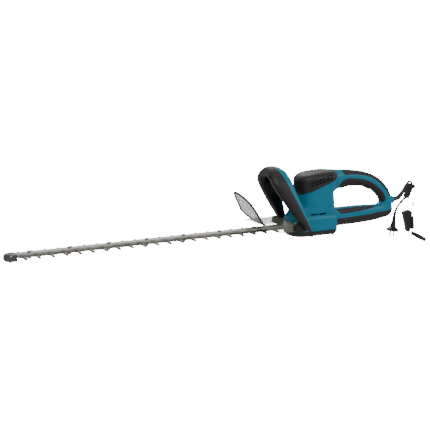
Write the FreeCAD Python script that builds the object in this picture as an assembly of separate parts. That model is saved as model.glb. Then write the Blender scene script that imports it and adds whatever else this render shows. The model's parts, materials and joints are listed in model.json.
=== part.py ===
"""Electric hedge trimmer: double-sided blade, loop front handle, D-shaped rear handle.

Millimetres.  The blade points along -X, the operator stands at +X, +Z is up.
The origin is the middle of the rear handle's upper grip.  The operator's left is -Y.
Every physical piece is its own node; moving bodies keep real clearances.
"""
import FreeCAD, Part
import math
import os
from FreeCAD import Vector as V

# ---------------------------------------------------------------- driving dimensions
WALL = 2.5                      # moulded wall of the casings
BLADE_Z = -113.0                # plane between the two cutting blades
PITCH = 35.0                    # spacing of the cutting teeth
TEETH = 21                      # teeth on each side
TOOTH_X0 = -970.0               # centre of the tooth nearest the tip
BLADE_END = -984.0              # front end of both cutting blades
TOOTH_Y = 42.0                  # reach of a tooth from the blade's centre line
SPINE_Y = 16.0                  # half width of a cutting blade's spine
BLADE_T = 2.4                   # thickness of each cutting blade
BLADE_GAP = 0.2                 # play between the two blades, and to the guide bar
BAR_Y = 12.0                    # half width of the guide bar
BAR_T = 5.0
BOLT_X0 = -952.0                # first bolt; the rest follow every third tooth
BOLTS = 7
BOLT_R = 3.0
SLEEVE_R = 4.0
TIP_X = -998.0                  # centre of the tip cap's round nose
TIP_R = 20.0
TIP_SCREW_X = -1001.0

MOTOR_X = -150.0                # vertical motor axis
MODULE = 1.0
PINION_Z, GEAR_Z = 9, 54
CRANK_X = MOTOR_X - MODULE * (PINION_Z + GEAR_Z) / 2.0
THROW = 8.0                     # eccentricity, half of each blade's stroke
DISC_R = 15.5                   # eccentric discs
YOKE_PLAY = 2.0                 # play of a disc in its yoke along X

BASE_Z0, SEAM_Z = -139.0, -122.0
STEP_Z = -84.0                  # where the wide lower casing steps in
TOP_Z = 40.0
BASE_Y, UPPER_Y, GRIP_Y = 46.0, 43.0, 18.0
NOSE_X, REAR_X = -178.0, -80.0  # centre of the round nose, rear end of the base
COVER_X = -152.0                # centre of the motor cover's round front

CORD_R = 3.25
STRING_R = 0.9

# Route of the supply cord from the strain relief to the plug, in the plane y = 0
RELIEF_ROUTE = [(112.0, -66.2), (141.0, -62.0), (158.0, -46.0), (170.5, -25.5)]
CORD_ROUTE = [(170.5, -25.5), (175.0, -17.1), (184.4, -16.6), (189.8, -24.4), (182.4, -40.8),
              (172.0, -60.0), (159.0, -70.0), (146.5, -82.5), (138.5, -93.5), (134.5, -103.5)]

X, Y, Z = V(1, 0, 0), V(0, 1, 0), V(0, 0, 1)


# ---------------------------------------------------------------- small helpers
def save(name, *solids):
    """Write one node, made of one or several separate solids."""
    shape = solids[0] if len(solids) == 1 else Part.makeCompound(list(solids))
    if not shape.isValid():
        print("INVALID", name)
    shape.exportStep("parts/%s.step" % name)
    print("%-26s %3d solid(s) %10.1f mm3" % (name, len(shape.Solids), shape.Volume))


def box(x0, x1, y0, y1, z0, z1):
    return Part.makeBox(x1 - x0, y1 - y0, z1 - z0, V(x0, y0, z0))


def rod(x, y, z0, z1, r):
    """Vertical cylinder."""
    return Part.makeCylinder(r, z1 - z0, V(x, y, z0), Z)


def cyl(p, q, r):
    """Cylinder from point p to point q."""
    d = q - p
    return Part.makeCylinder(r, d.Length, p, d)


def cone(p, q, r0, r1):
    d = q - p
    return Part.makeCone(r0, r1, d.Length, p, d)


def ring(x, y, z0, z1, ro, ri):
    return rod(x, y, z0, z1, ro).cut(rod(x, y, z0 - 1, z1 + 1, ri))


def face_xz(points, y=0.0):
    pts = [V(px, y, pz) for px, pz in points]
    return Part.Face(Part.makePolygon(pts + [pts[0]]))


def slab(points, y0, y1):
    """Polygon in XZ, extruded from y0 to y1."""
    return face_xz(points, y0).extrude(V(0, y1 - y0, 0))


def smooth_slab(points, y0, y1):
    """Closed smooth outline in XZ, extruded from y0 to y1."""
    curve = Part.BSplineCurve()
    curve.interpolate([V(px, y0, pz) for px, pz in points], PeriodicFlag=True)
    return Part.Face(Part.Wire(curve.toShape())).extrude(V(0, y1 - y0, 0))


def plan(points, z0, z1):
    """Polygon in XY, extruded from z0 to z1."""
    pts = [V(px, py, z0) for px, py in points]
    return Part.Face(Part.makePolygon(pts + [pts[0]])).extrude(V(0, 0, z1 - z0))


def one(shape):
    """Clean the result of a boolean and keep a single solid plain."""
    shape = shape.removeSplitter()
    return shape.Solids[0] if len(shape.Solids) == 1 else shape


def along(edges, direction, tol=1e-6):
    """Edges that are straight and run along a direction."""
    return [e for e in edges if e.Curve.TypeId == "Part::GeomLine"
            and abs(abs(e.tangentAt(e.FirstParameter).dot(direction)) - 1) < tol]


def at_height(shape, z, tol=1e-3):
    """Edges that lie wholly at one height."""
    return [e for e in shape.Edges if abs(e.BoundBox.ZMin - z) < tol and abs(e.BoundBox.ZMax - z) < tol]


def soften(shape, edges, radii):
    """Round edges with the first radius that the geometry takes."""
    for radius in radii:
        try:
            rounded = shape.makeFillet(radius, edges)
        except Part.OCCError:
            continue
        if rounded.isValid() and rounded.Volume > 0:
            return rounded
    print("edges left sharp", len(edges))
    return shape


def route_wire(points):
    """Straight runs joined by tangent arcs, each as large as its two runs allow."""
    pts = [V(px, 0, pz) for px, pz in points]
    edges, start, radii = [], pts[0], []
    for before, corner, after in zip(pts, pts[1:], pts[2:]):
        u, w = (corner - before), (after - corner)
        short = min(u.Length, w.Length)
        u.normalize()
        w.normalize()
        turn = u.getAngle(w)
        reach = 0.45 * short
        radii.append(reach / math.tan(turn / 2))
        p, q = corner - u * reach, corner + w * reach
        mid_dir = (w - u).normalize()
        mid = corner + mid_dir * (radii[-1] / math.cos(turn / 2) - radii[-1])
        edges.append(Part.LineSegment(start, p).toShape())
        edges.append(Part.Arc(p, mid, q).toShape())
        start = q
    edges.append(Part.LineSegment(start, pts[-1]).toShape())
    return Part.Wire(edges), radii


def tube(points, r, label=None):
    """Round tube along a route in the plane y = 0."""
    wire, radii = route_wire(points)
    pts = [V(px, 0, pz) for px, pz in points]
    section = Part.Wire(Part.Circle(pts[0], pts[1] - pts[0], r).toShape())
    solid = wire.makePipeShell([section], True, False)
    if label:
        print(label, "length %.1f" % wire.Length, "radii", [round(v, 1) for v in radii],
              "volume/section*length %.4f" % (solid.Volume / (math.pi * r * r * wire.Length)))
    return solid


# ---------------------------------------------------------------- casing envelope
def rounded_plan(x_nose, radius, x_rear, corner, inset, z0, z1, top_round):
    """Upright block: half-round nose, straight sides, rounded rear corners, rounded top edge."""
    r = radius - inset
    block = rod(x_nose, 0, z0, z1, r).fuse(box(x_nose, x_rear - inset, -r, r, z0, z1)).removeSplitter()
    block = block.Solids[0]
    rear = [e for e in along(block.Edges, Z) if e.BoundBox.XMin > x_rear - inset - 1]
    block = block.makeFillet(max(corner - inset, 1.0), rear)
    if top_round > inset:
        block = block.makeFillet(top_round - inset, at_height(block, z1))
    return block


def handle_ring(inset):
    """D-shaped rear handle: a smooth outer outline less a smooth window."""
    outer = [(-96, -14), (-78, 30), (-46, 34), (-18, 31), (10, 27), (38, 19), (60, 9), (81, -6),
             (96, -21), (107, -42), (115, -62), (118, -84), (116, -102), (104, -111), (84, -115),
             (43, -120), (1, -122), (-41, -122.5), (-70, -122), (-92, -112), (-100, -60)]
    window = [(-78, -44), (-74, -27), (-60, -14), (-36, -9), (-12, -8.5), (10, -10.5), (32, -18),
              (54, -33), (71, -48), (80, -61), (81, -70), (72, -73.5), (38, -72), (0, -70.5),
              (-38, -70.5), (-64, -70.5), (-76, -62)]
    ring_solid = smooth_slab(offset_outline(outer, -inset), -GRIP_Y + inset, GRIP_Y - inset)
    hole = smooth_slab(offset_outline(window, inset), -GRIP_Y - 1, GRIP_Y + 1)
    flat = ring_solid.cut(hole)
    rims = [e for e in flat.Edges if e.BoundBox.YLength < 1e-3]
    return soften(flat, rims, [radius - inset for radius in (13.0, 11.0, 9.0, 7.0, 5.0)])


def offset_outline(points, amount):
    """Move each point of a closed outline outward (amount > 0) or inward along its normal."""
    if not amount:
        return points
    n = len(points)
    area = sum(points[i][0] * points[(i + 1) % n][1] - points[(i + 1) % n][0] * points[i][1]
               for i in range(n))
    turn = 1.0 if area > 0 else -1.0
    moved = []
    for i in range(n):
        ax, az = points[i - 1]
        bx, bz = points[(i + 1) % n]
        dx, dz = bx - ax, bz - az
        size = math.hypot(dx, dz)
        moved.append((points[i][0] + turn * amount * dz / size, points[i][1] - turn * amount * dx / size))
    return moved


def cord_boss(inset):
    """Tapered outlet at the rear end of the handle."""
    return cone(V(98, 0, -68), V(124.0, 0, -64.5), 17.0 - inset, 9.5 - inset)


def lower_casing(inset):
    """Wide lower part around the gears, from the seam up to the step."""
    return rounded_plan(NOSE_X, BASE_Y, REAR_X, 22.0, inset, SEAM_Z, STEP_Z - inset, 5.0)


def upper_casing(inset):
    """Narrower upper part around the motor."""
    return rounded_plan(COVER_X, UPPER_Y, -70.0, 30.0, inset, STEP_Z - 12, TOP_Z - inset, 17.0)


def envelope(inset):
    """Outer form of the whole casing above the seam, or the same form moved inward."""
    body = upper_casing(inset).fuse(lower_casing(inset))
    body = body.fuse(handle_ring(inset))
    return one(body.fuse(cord_boss(inset)))


# ---------------------------------------------------------------- blade unit
def tooth_outline(side):
    """Points of the teeth along one side of a blade, from the tip to the rear."""
    pts = []
    for i in range(TEETH):
        x = TOOTH_X0 + PITCH * i
        pts += [(x - 7.0, side * SPINE_Y), (x - 4.6, side * (SPINE_Y + 3.0)),
                (x - 3.6, side * (TOOTH_Y - 1.5)), (x - 2.0, side * TOOTH_Y), (x + 2.0, side * TOOTH_Y),
                (x + 3.6, side * (TOOTH_Y - 1.5)), (x + 4.6, side * (SPINE_Y + 3.0)),
                (x + 7.0, side * SPINE_Y)]
    return pts


def cutting_blade(z0):
    """One toothed blade with bolt slots and the yoke that its eccentric drives."""
    z1 = z0 + BLADE_T
    neck_x = CRANK_X - 14
    outline = tooth_outline(-1) + [(neck_x, -SPINE_Y), (neck_x, SPINE_Y)]
    outline += list(reversed(tooth_outline(1)))
    outline += [(BLADE_END, SPINE_Y - 4), (BLADE_END, -SPINE_Y + 4)]
    blade = plan(outline, z0, z1)
    half_x, half_y = DISC_R + YOKE_PLAY, DISC_R + THROW + 0.4
    frame = box(CRANK_X - half_x - 5, CRANK_X + half_x + 5, -half_y - 5, half_y + 5, z0, z1)
    frame = frame.makeFillet(12.0, along(frame.Edges, Z))
    window = box(CRANK_X - half_x, CRANK_X + half_x, -half_y, half_y, z0 - 1, z1 + 1)
    window = window.makeFillet(8.0, along(window.Edges, Z))
    blade = blade.fuse(frame).cut(window)
    for x in bolt_places():
        reach = THROW + 0.6
        slot = box(x - reach, x + reach, -SLEEVE_R - 0.3, SLEEVE_R + 0.3, z0 - 1, z1 + 1)
        for end in (-reach, reach):
            slot = slot.fuse(rod(x + end, 0, z0 - 1, z1 + 1, SLEEVE_R + 0.3))
        blade = blade.cut(slot)
    return one(blade)


def spine_and_teeth(blade, z0):
    """The blade's spine with its yoke, and its teeth, which are separate so that the gaps between them stay open."""
    zone = None
    for side in (-1, 1):
        y0, y1 = sorted((side * SPINE_Y, side * (TOOTH_Y + 1)))
        strip = box(BLADE_END - 1, TOOTH_X0 + PITCH * (TEETH - 1) + 7.5, y0, y1, z0 - 1, z0 + BLADE_T + 1)
        zone = strip if zone is None else Part.makeCompound([zone, strip])
    return one(blade.cut(zone)), blade.common(zone).Solids


def bolt_places():
    return [BOLT_X0 + 3 * PITCH * i for i in range(BOLTS)]


LOWER_Z = BLADE_Z - BLADE_GAP / 2 - BLADE_T
UPPER_Z = BLADE_Z + BLADE_GAP / 2
BAR_Z = UPPER_Z + BLADE_T + BLADE_GAP
BAR_TOP = BAR_Z + BAR_T
POSTS = [(-140.0, 24.0), (-140.0, -24.0)]      # screws that carry the lower bearing plate


def guide_bar():
    """Fixed bar above the blades, widened to a plate under the gear case."""
    bar = box(TIP_X - 8, CRANK_X - 25, -BAR_Y, BAR_Y, BAR_Z, BAR_TOP)
    plate = rod(CRANK_X, 0, BAR_Z, BAR_TOP, 33).fuse(box(CRANK_X, -130, -33, 33, BAR_Z, BAR_TOP))
    bar = bar.fuse(plate).cut(rod(CRANK_X, 0, BAR_Z - 1, BAR_TOP + 1, 11))
    bar = bar.cut(rod(MOTOR_X, 0, BAR_Z - 1, BAR_TOP + 1, 8))
    for x in bolt_places():
        bar = bar.cut(rod(x, 0, BAR_Z - 1, BAR_TOP + 1, BOLT_R + 0.02))
    bar = bar.cut(rod(TIP_SCREW_X, 0, BAR_Z - 1, BAR_TOP + 1, 2.05))
    for x, y in POSTS:
        bar = bar.cut(rod(x, y, BAR_Z - 1, BAR_TOP + 1, 2.05))
    return one(bar)


def blade_bolt(x):
    """Hexagon bolt with a shoulder sleeve that the blades slide along."""
    head = Part.Face(Part.makePolygon([V(x + 5.2 * math.cos(a * math.pi / 3), 5.2 * math.sin(a * math.pi / 3),
                                         BAR_TOP) for a in range(7)])).extrude(V(0, 0, 3.4))
    dome = rod(x, 0, BAR_TOP + 3.4, BAR_TOP + 4.2, 3.2)
    shank = rod(x, 0, LOWER_Z - 6.5, BAR_TOP, BOLT_R)
    sleeve = rod(x, 0, LOWER_Z - 0.2, BAR_Z, SLEEVE_R)
    return one(head.fuse(dome).fuse(shank).fuse(sleeve))


def blade_nut(x):
    """Lock nut and washer under the blades."""
    z = LOWER_Z - 0.2
    washer = ring(x, 0, z - 1.2, z, 8.5, BOLT_R)
    corners = [V(x + 5.2 * math.cos(a * math.pi / 3), 5.2 * math.sin(a * math.pi / 3), z - 5.2)
               for a in range(7)]
    nut = Part.Face(Part.makePolygon(corners)).extrude(V(0, 0, 4.0)).cut(rod(x, 0, z - 9, z, BOLT_R))
    return one(washer.fuse(nut))


def tip_cap():
    """Rounded metal cap that closes the blade tip; the guide bar ends in its socket."""
    z0, z1 = BLADE_Z - 10, BLADE_Z + 9
    cap = rod(TIP_X, 0, z0, z1, TIP_R).common(box(TIP_X - 30, TIP_X, -30, 30, z0, z1))
    cap = cap.fuse(box(TIP_X, TIP_X + 11, -TIP_R, TIP_R, z0, z1)).removeSplitter()
    cap = cap.Solids[0]
    cap = cap.makeFillet(7.0, [e for e in cap.Edges if e.BoundBox.ZLength < 1e-3 and e.BoundBox.XMin < TIP_X + 10.5])
    socket = box(TIP_X - 8.05, TIP_X + 12, -BAR_Y - 0.05, BAR_Y + 0.05, BAR_Z - 0.01, BAR_TOP + 0.05)
    mouth = box(TIP_X + 1, TIP_X + 12, -17.0, 17.0, LOWER_Z - 0.4, BAR_Z)
    screw = rod(TIP_SCREW_X, 0, z0 - 1, BLADE_Z + 5, 2.0)
    return one(cap.cut(socket).cut(mouth).cut(screw))


def tip_screw():
    """Screw with a round head below the cap."""
    z0 = BLADE_Z - 10
    shank = rod(TIP_SCREW_X, 0, z0, BLADE_Z + 5, 2.0)
    return one(shank.fuse(rod(TIP_SCREW_X, 0, z0 - 4, z0, 4.5)))


# ---------------------------------------------------------------- gear train
def involute(base, radius):
    """Polar angle of an involute of a base circle at a radius."""
    t = math.sqrt(max((radius / base) ** 2 - 1, 0))
    return t - math.atan(t)


def gear_blank(teeth, cx, z0, z1, turned, add, ded, slack):
    """Spur gear with involute flanks, a tooth centred on the angle `turned` (radians)."""
    pitch_r = MODULE * teeth / 2
    base = pitch_r * math.cos(math.radians(20))
    tip, root = pitch_r + add * MODULE, pitch_r - ded * MODULE
    half = math.pi / (2 * teeth) - slack / pitch_r
    at_pitch = involute(base, pitch_r)
    lows = max(base, root)
    radii = [lows + (tip - lows) * k / 4 for k in range(5)]
    flank = [(r, half + at_pitch - involute(base, r)) for r in radii]
    if root < base:
        flank = [(root, flank[0][1])] + flank
    points = []
    for i in range(teeth):
        centre = turned + 2 * math.pi * i / teeth
        points += [(r, centre - a) for r, a in flank] + [(r, centre + a) for r, a in reversed(flank)]
    outline = [(cx + r * math.cos(a), r * math.sin(a)) for r, a in points]
    return plan(outline, z0, z1)


GEAR_Z0, GEAR_Z1 = -101.0, -93.5
CASE_Z0, CASE_Z1 = -88.0, -80.0


def drive_gear():
    """Large spur gear that turns freely on the crankshaft, driving it through the clutch."""
    gear = gear_blank(GEAR_Z, CRANK_X, GEAR_Z0, GEAR_Z1, 0.0, 0.9, 1.15, 0.10)
    groove = ring(CRANK_X, 0, GEAR_Z0 - 1, GEAR_Z0 + 2, 23, 13)
    gear = gear.cut(groove).cut(rod(CRANK_X, 0, GEAR_Z0 - 1, GEAR_Z1 + 1, 6.06))
    for k in range(6):
        a = math.radians(60 * k + 30)
        gear = gear.cut(rod(CRANK_X + 19 * math.cos(a), 19 * math.sin(a), GEAR_Z0 - 1, GEAR_Z1 + 1, 3.2))
    return one(gear)


def crank():
    """Crankshaft with two opposite eccentric discs, one for each blade."""
    shaft = rod(CRANK_X, 0, -121.0, CASE_Z1 - 0.5, 6.0)
    collar = rod(CRANK_X, 0, -104.5, GEAR_Z0 - 0.2, 9.0)
    upper = rod(CRANK_X, THROW, UPPER_Z + 0.2, UPPER_Z + BLADE_T - 0.2, DISC_R)
    lower = rod(CRANK_X, -THROW, LOWER_Z + 0.2, LOWER_Z + BLADE_T - 0.2, DISC_R)
    web = rod(CRANK_X, 0, LOWER_Z + BLADE_T - 0.3, UPPER_Z + 0.3, 7.4)
    return one(shaft.fuse(collar).fuse(upper).fuse(lower).fuse(web))


def hull_plan(r_crank, r_motor, z0, z1):
    """Upright block whose plan wraps a circle at the crank and a smaller one at the motor."""
    gap = MOTOR_X - CRANK_X
    lean = math.asin((r_crank - r_motor) / gap)
    side = []
    for cx, r in ((CRANK_X, r_crank), (MOTOR_X, r_motor)):
        side.append((cx + r * math.sin(lean), r * math.cos(lean)))
    quad = [side[0], side[1], (side[1][0], -side[1][1]), (side[0][0], -side[0][1])]
    block = plan(quad, z0, z1).fuse(rod(CRANK_X, 0, z0, z1, r_crank)).fuse(rod(MOTOR_X, 0, z0, z1, r_motor))
    return block.removeSplitter()


def gear_case():
    """Cast cup over the gears that holds the upper crank bush and the lower armature bearing."""
    case = hull_plan(33.0, 28.0, BAR_TOP, CASE_Z1).cut(hull_plan(30.0, 10.0, BAR_TOP - 1, CASE_Z0))
    case = case.cut(rod(CRANK_X, 0, CASE_Z0 - 1, CASE_Z1 + 1, 10.0))
    case = case.cut(rod(MOTOR_X, 0, CASE_Z0 - 1, CASE_Z1 + 1, 11.0))
    for x, y in POSTS:
        boss = rod(x, y, BAR_TOP, CASE_Z1, 5.0)
        case = case.fuse(boss).cut(rod(x, y, BAR_TOP - 1, CASE_Z0, 2.0))
    clear = WALL + 0.3
    return one(case.common(upper_casing(clear).fuse(lower_casing(clear))))


def bearing_plate():
    """Steel plate below the blades that holds the lower crank bush."""
    plate = rod(CRANK_X, 0, -121.0, -117.5, 30).fuse(box(CRANK_X, -130, -30, 30, -121.0, -117.5))
    plate = plate.cut(rod(CRANK_X, 0, -122, -117, 9.0))
    for x, y in POSTS:
        plate = plate.cut(rod(x, y, -122, -117, 2.05))
    return one(plate)


def post_screw(x, y):
    """Long screw through the bearing plate, its spacer and the guide bar into the gear case."""
    shank = rod(x, y, -121.0, CASE_Z0 - 2, 2.0)
    spacer = rod(x, y, -117.5, BAR_Z, 4.0)
    return one(shank.fuse(spacer))


# ---------------------------------------------------------------- motor
def armature_shaft():
    """Motor shaft with the pinion cut into its lower end."""
    shaft = rod(MOTOR_X, 0, -92.0, 21.0, 4.0)
    pinion = gear_blank(PINION_Z, MOTOR_X, -101.5, -91.5, 0.0, 0.85, 1.1, 0.10)
    return one(shaft.fuse(pinion))


def armature_core():
    """Laminated core with open slots for the windings."""
    core = ring(MOTOR_X, 0, -58, -16, 19.5, 4.0)
    for k in range(12):
        a = math.radians(30 * k)
        slot = rod(MOTOR_X + 14.5 * math.cos(a), 14.5 * math.sin(a), -59, -15, 2.6)
        mouth = box(14.0, 20.5, -0.9, 0.9, -59, -15)
        mouth.rotate(V(0, 0, 0), Z, 30 * k)
        mouth.translate(V(MOTOR_X, 0, 0))
        core = core.cut(slot).cut(mouth)
    return one(core)


def armature_windings():
    """Varnished winding heads above and below the core."""
    heads = []
    for z0, z1 in ((-65, -58), (-16, -9)):
        head = ring(MOTOR_X, 0, z0, z1, 17.5, 4.0)
        heads.append(head.makeFillet(2.5, [e for e in head.Edges if e.BoundBox.XLength > 30
                                            and e.BoundBox.ZLength < 1e-3]))
    return heads


def commutator():
    """Copper commutator with its bars marked by fine grooves."""
    body = ring(MOTOR_X, 0, -7, 7, 12.0, 4.0)
    for k in range(24):
        a = math.radians(15 * k)
        body = body.cut(rod(MOTOR_X + 12.2 * math.cos(a), 12.2 * math.sin(a), -4.5, 8, 0.45))
    return one(body)


def cooling_fan():
    """Radial fan: hub, disc and curved blades."""
    fan = ring(MOTOR_X, 0, -77, -67, 9, 4.0).fuse(ring(MOTOR_X, 0, -77, -75.2, 31, 4.0))
    for k in range(14):
        blade = box(8.0, 30.0, -0.8, 0.8, -76, -67)
        blade.rotate(V(8, 0, 0), Z, 24)
        blade.rotate(V(0, 0, 0), Z, 360.0 * k / 14)
        blade.translate(V(MOTOR_X, 0, 0))
        fan = fan.fuse(blade)
    return one(fan.common(rod(MOTOR_X, 0, -77, -66, 31)))


def stator_core():
    """Laminated field core with two poles and a winding window each side of them."""
    core = rod(MOTOR_X, 0, -58, -16, 36).common(box(MOTOR_X - 36, MOTOR_X + 36, -32, 32, -58, -16))
    core = core.cut(rod(MOTOR_X, 0, -59, -15, 20.2))
    for side in (-1, 1):
        window = box(12, 30, -13, 13, -59, -15)
        window = window.makeFillet(3.0, along(window.Edges, Z))
        if side < 0:
            window.rotate(V(0, 0, 0), Z, 180)
        window.translate(V(MOTOR_X, 0, 0))
        core = core.cut(window)
    return one(core)


def field_coils():
    """Two field coils: bundles in the windows joined by the winding heads."""
    coils = []
    for side in (-1, 1):
        y0, y1 = sorted((side * 2.5, side * 12.0))
        legs = [box(MOTOR_X + sx * 25.5 - 3.5, MOTOR_X + sx * 25.5 + 3.5, y0, y1, -64, -10) for sx in (-1, 1)]
        arc = ring(MOTOR_X, 0, -64, -58.5, 29, 22).fuse(ring(MOTOR_X, 0, -15.5, -10, 29, 22))
        half = box(MOTOR_X - 30, MOTOR_X + 30, min(0.4 * side, 40 * side), max(0.4 * side, 40 * side), -65, -9)
        coils.append(one(legs[0].fuse(legs[1]).fuse(arc.common(half))))
    return coils


def brush_parts():
    """Brush holders, carbon brushes and their springs, one set each side of the commutator."""
    holders, brushes, springs = [], [], []
    for side in (-1, 1):
        def span(a, b):
            return sorted((side * a, side * b))
        y0, y1 = span(14.0, 31.0)
        body = box(MOTOR_X - 5.5, MOTOR_X + 5.5, y0, y1, -5, 5)
        y2, y3 = span(13.0, 29.0)
        body = body.cut(box(MOTOR_X - 3.2, MOTOR_X + 3.2, y2, y3, -3.2, 3.2))
        holders.append(one(body))
        y4, y5 = span(12.3, 23.0)
        brushes.append(box(MOTOR_X - 3.1, MOTOR_X + 3.1, y4, y5, -3.1, 3.1))
        y6, y7 = span(23.2, 28.8)
        coil = cyl(V(MOTOR_X, y6, 0), V(MOTOR_X, y7, 0), 2.4)
        springs.append(coil.cut(cyl(V(MOTOR_X, y6 - 1, 0), V(MOTOR_X, y7 + 1, 0), 1.5)))
    return holders, brushes, springs


def bearing_bracket():
    """Moulded bridge that carries the upper armature bearing and the brush holders."""
    cup = ring(MOTOR_X, 0, 9, 19.5, 14.5, 11.0)
    bridge = box(MOTOR_X - 9, MOTOR_X + 9, -38, 38, 9, 12).cut(rod(MOTOR_X, 0, 8, 20, 11.0))
    legs = [box(MOTOR_X - 9, MOTOR_X + 9, *sorted((s * 33.5, s * 38)), -12, 9) for s in (-1, 1)]
    return one(cup.fuse(bridge).fuse(legs[0]).fuse(legs[1]))


# ---------------------------------------------------------------- front loop handle
LOOP_PART = [(-193.5, -97), (-251, 21), (-268, 66)]


def loop_side(inset):
    """Side form of the front handle: it leans forward and thins towards its lower ends."""
    pts = [(-200, -116), (-240, -50), (-284, 18), (-289, 34), (-285, 49), (-270, 59), (-252, 60), (-238, 49),
           (-232, 30), (-219, -10), (-203, -58), (-190, -96), (-190, -110)]
    return smooth_slab(offset_outline(pts, -inset), -100, 100)


def loop_front_view(inset):
    """Front form of the handle: an arch that widens downward, less its opening."""
    outer = [(0, 61.0), (28, 54), (46, 38), (58, 18), (67, -8), (75, -38), (83, -68), (93, -112), (94, -125)]
    out = offset_outline([(-y, z) for y, z in reversed(outer[1:])] + outer, -inset)
    return arch_face(out).extrude(V(200, 0, 0)).cut(arch_under(inset))


def arch_face(points):
    """Smooth arch through the points, closed by a straight line along its foot."""
    pts = [V(-330, y, z) for y, z in points]
    curve = Part.BSplineCurve()
    curve.interpolate(pts)
    foot = Part.LineSegment(pts[-1], pts[0]).toShape()
    return Part.Face(Part.Wire([curve.toShape(), foot]))


def loop_solid(inset):
    """Handle form: side form and front form together, cut off square at its feet."""
    solid = loop_side(inset).common(loop_front_view(inset))
    return solid.common(box(-340, -150, -120, 120, -113 + inset, 80))


def loop_halves():
    """Front and rear shells of the handle, hollow, parted along its side."""
    whole = loop_solid(0)
    shell = whole.cut(loop_solid(WALL + 0.5)).cut(lever_slot())
    for (y, z), (x0, x1) in zip(HANDLE_SCREWS, handle_screw_spans()):
        boss = cyl(V(x0 - 10, y, z), V(x1 + 20, y, z), 5.2).common(whole)
        hole = cyl(V(x0 - 15, y, z), V(x0 + 3, y, z), 4.2).fuse(cyl(V(x0, y, z), V(x1, y, z), 1.8))
        shell = shell.fuse(boss).cut(hole)
    low, mid, top = LOOP_PART
    region = slab([(-400, 90), (-400, -130), (low[0], -130), low, mid, top, (-268, 90)], -120, 120)
    return shell.common(region), shell.cut(region)


def handle_foot(side):
    """Foot that ties a handle leg to the casing's side and carries the guard."""
    foot = box(-232, -194, *sorted((side * 36, side * 72)), -112.5, GUARD_Z)
    foot = foot.makeFillet(4.0, along(foot.Edges, Z))
    foot = foot.cut(rod(NOSE_X, 0, -130, -80, BASE_Y)).cut(box(NOSE_X, 0, -BASE_Y, BASE_Y, -130, -80))
    foot = foot.cut(loop_solid(0)).cut(rod(-222, side * 52, -106, -90, 2.0))
    return max(foot.Solids, key=lambda solid: solid.Volume)


GUARD_Z = -94.8                 # underside of the guard's base, resting on the feet


def guard_screw(y):
    return one(rod(-222, y, -106, GUARD_Z + 2.5, 2.0).fuse(rod(-222, y, GUARD_Z + 2.5, GUARD_Z + 5, 4.2)))


def front_lever_solid():
    """Sprung bar on the inside of the arch, under the hand."""
    bar = arch_under(6.0).cut(arch_under(-4.0))
    bar = bar.common(lever_path(9.0)).common(box(-320, -200, -29.5, 29.5, 10, 60))
    return one(bar)


LOOP_INNER = [(0, 32.0), (17, 28), (29, 16), (38, -4), (47, -32), (56, -62), (68, -112), (70, -126)]
LEVER_TRAVEL = 4.0
LEVER_AXIS = V(-0.545, 0, 0.838)        # along the handle's lean


def arch_under(offset):
    """Space under the inner arch of the handle, moved outward by an offset."""
    low = offset_outline([(-y, z) for y, z in reversed(LOOP_INNER[1:])] + LOOP_INNER, offset)
    return arch_face(low).extrude(V(200, 0, 0))


def lever_path(half):
    """Slanted slab in which the lever slides, with a half width measured along X."""
    lean = LEVER_AXIS.x / LEVER_AXIS.z
    mid = [(-262 + lean * (z - 30), z) for z in (-20, 70)]
    return slab([(mid[0][0] - half, -20), (mid[0][0] + half, -20), (mid[1][0] + half, 70),
                 (mid[1][0] - half, 70)], -60, 60)


def lever_slot():
    """Slot in the inner wall of the handle for the lever."""
    wall = arch_under(5.0).cut(arch_under(-2.0))
    return wall.common(lever_path(9.6)).common(box(-330, -200, -33, 33, 8.5, 60))


HANDLE_SCREWS = [(33.0, 38.0), (-33.0, 38.0), (66.0, -62.0), (-66.0, -62.0)]


def handle_screw_spans():
    """Start and end along X of each handle screw, on the handle's leaning centre plane."""
    return [(-283.0, -246.0) if z > 0 else (-232.0, -210.0) for _, z in HANDLE_SCREWS]


def handle_screw(y, z, span):
    """Screw through the front shell into the rear shell."""
    head = cyl(V(span[0], y, z), V(span[0] + 3, y, z), 4.0)
    return one(head.fuse(cyl(V(span[0] + 3, y, z), V(span[1], y, z), 1.8)))


# ---------------------------------------------------------------- hand guard
def hand_guard():
    """Clear shield ahead of the front handle, with a flat base over the blade root."""
    t = 2.5
    leaf_side = [(-383, 1), (-321, GUARD_Z), (-318, GUARD_Z), (-380, 1)]
    lean = slab(leaf_side, -70, 70)
    rim = [(0, 0.5), (22, -3.5), (40, -14), (52, -34), (58, -58), (60, -92), (60, -96)]
    face = arch_face([(-y, z) for y, z in reversed(rim[1:])] + rim)
    face.translate(V(-80, 0, 0))
    leaf = lean.common(face.extrude(V(120, 0, 0)))
    base = box(-321, -208, -60, 60, GUARD_Z, GUARD_Z + t)
    base = base.cut(rod(NOSE_X, 0, -96, -90, BASE_Y + 0.3))
    sides = [box(-321, -236, *sorted((s * 60, s * (60 - t))), -112, GUARD_Z) for s in (-1, 1)]
    front = box(-321, -321 + t, -60, 60, -112, GUARD_Z + t).cut(box(-322, -317, -46, 46, -113, -100))
    guard = leaf.fuse(base).fuse(sides[0]).fuse(sides[1]).fuse(front)
    for y in (-52, 52):
        guard = guard.cut(rod(-222, y, -97, -90, 2.0))
    return one(guard)


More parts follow.
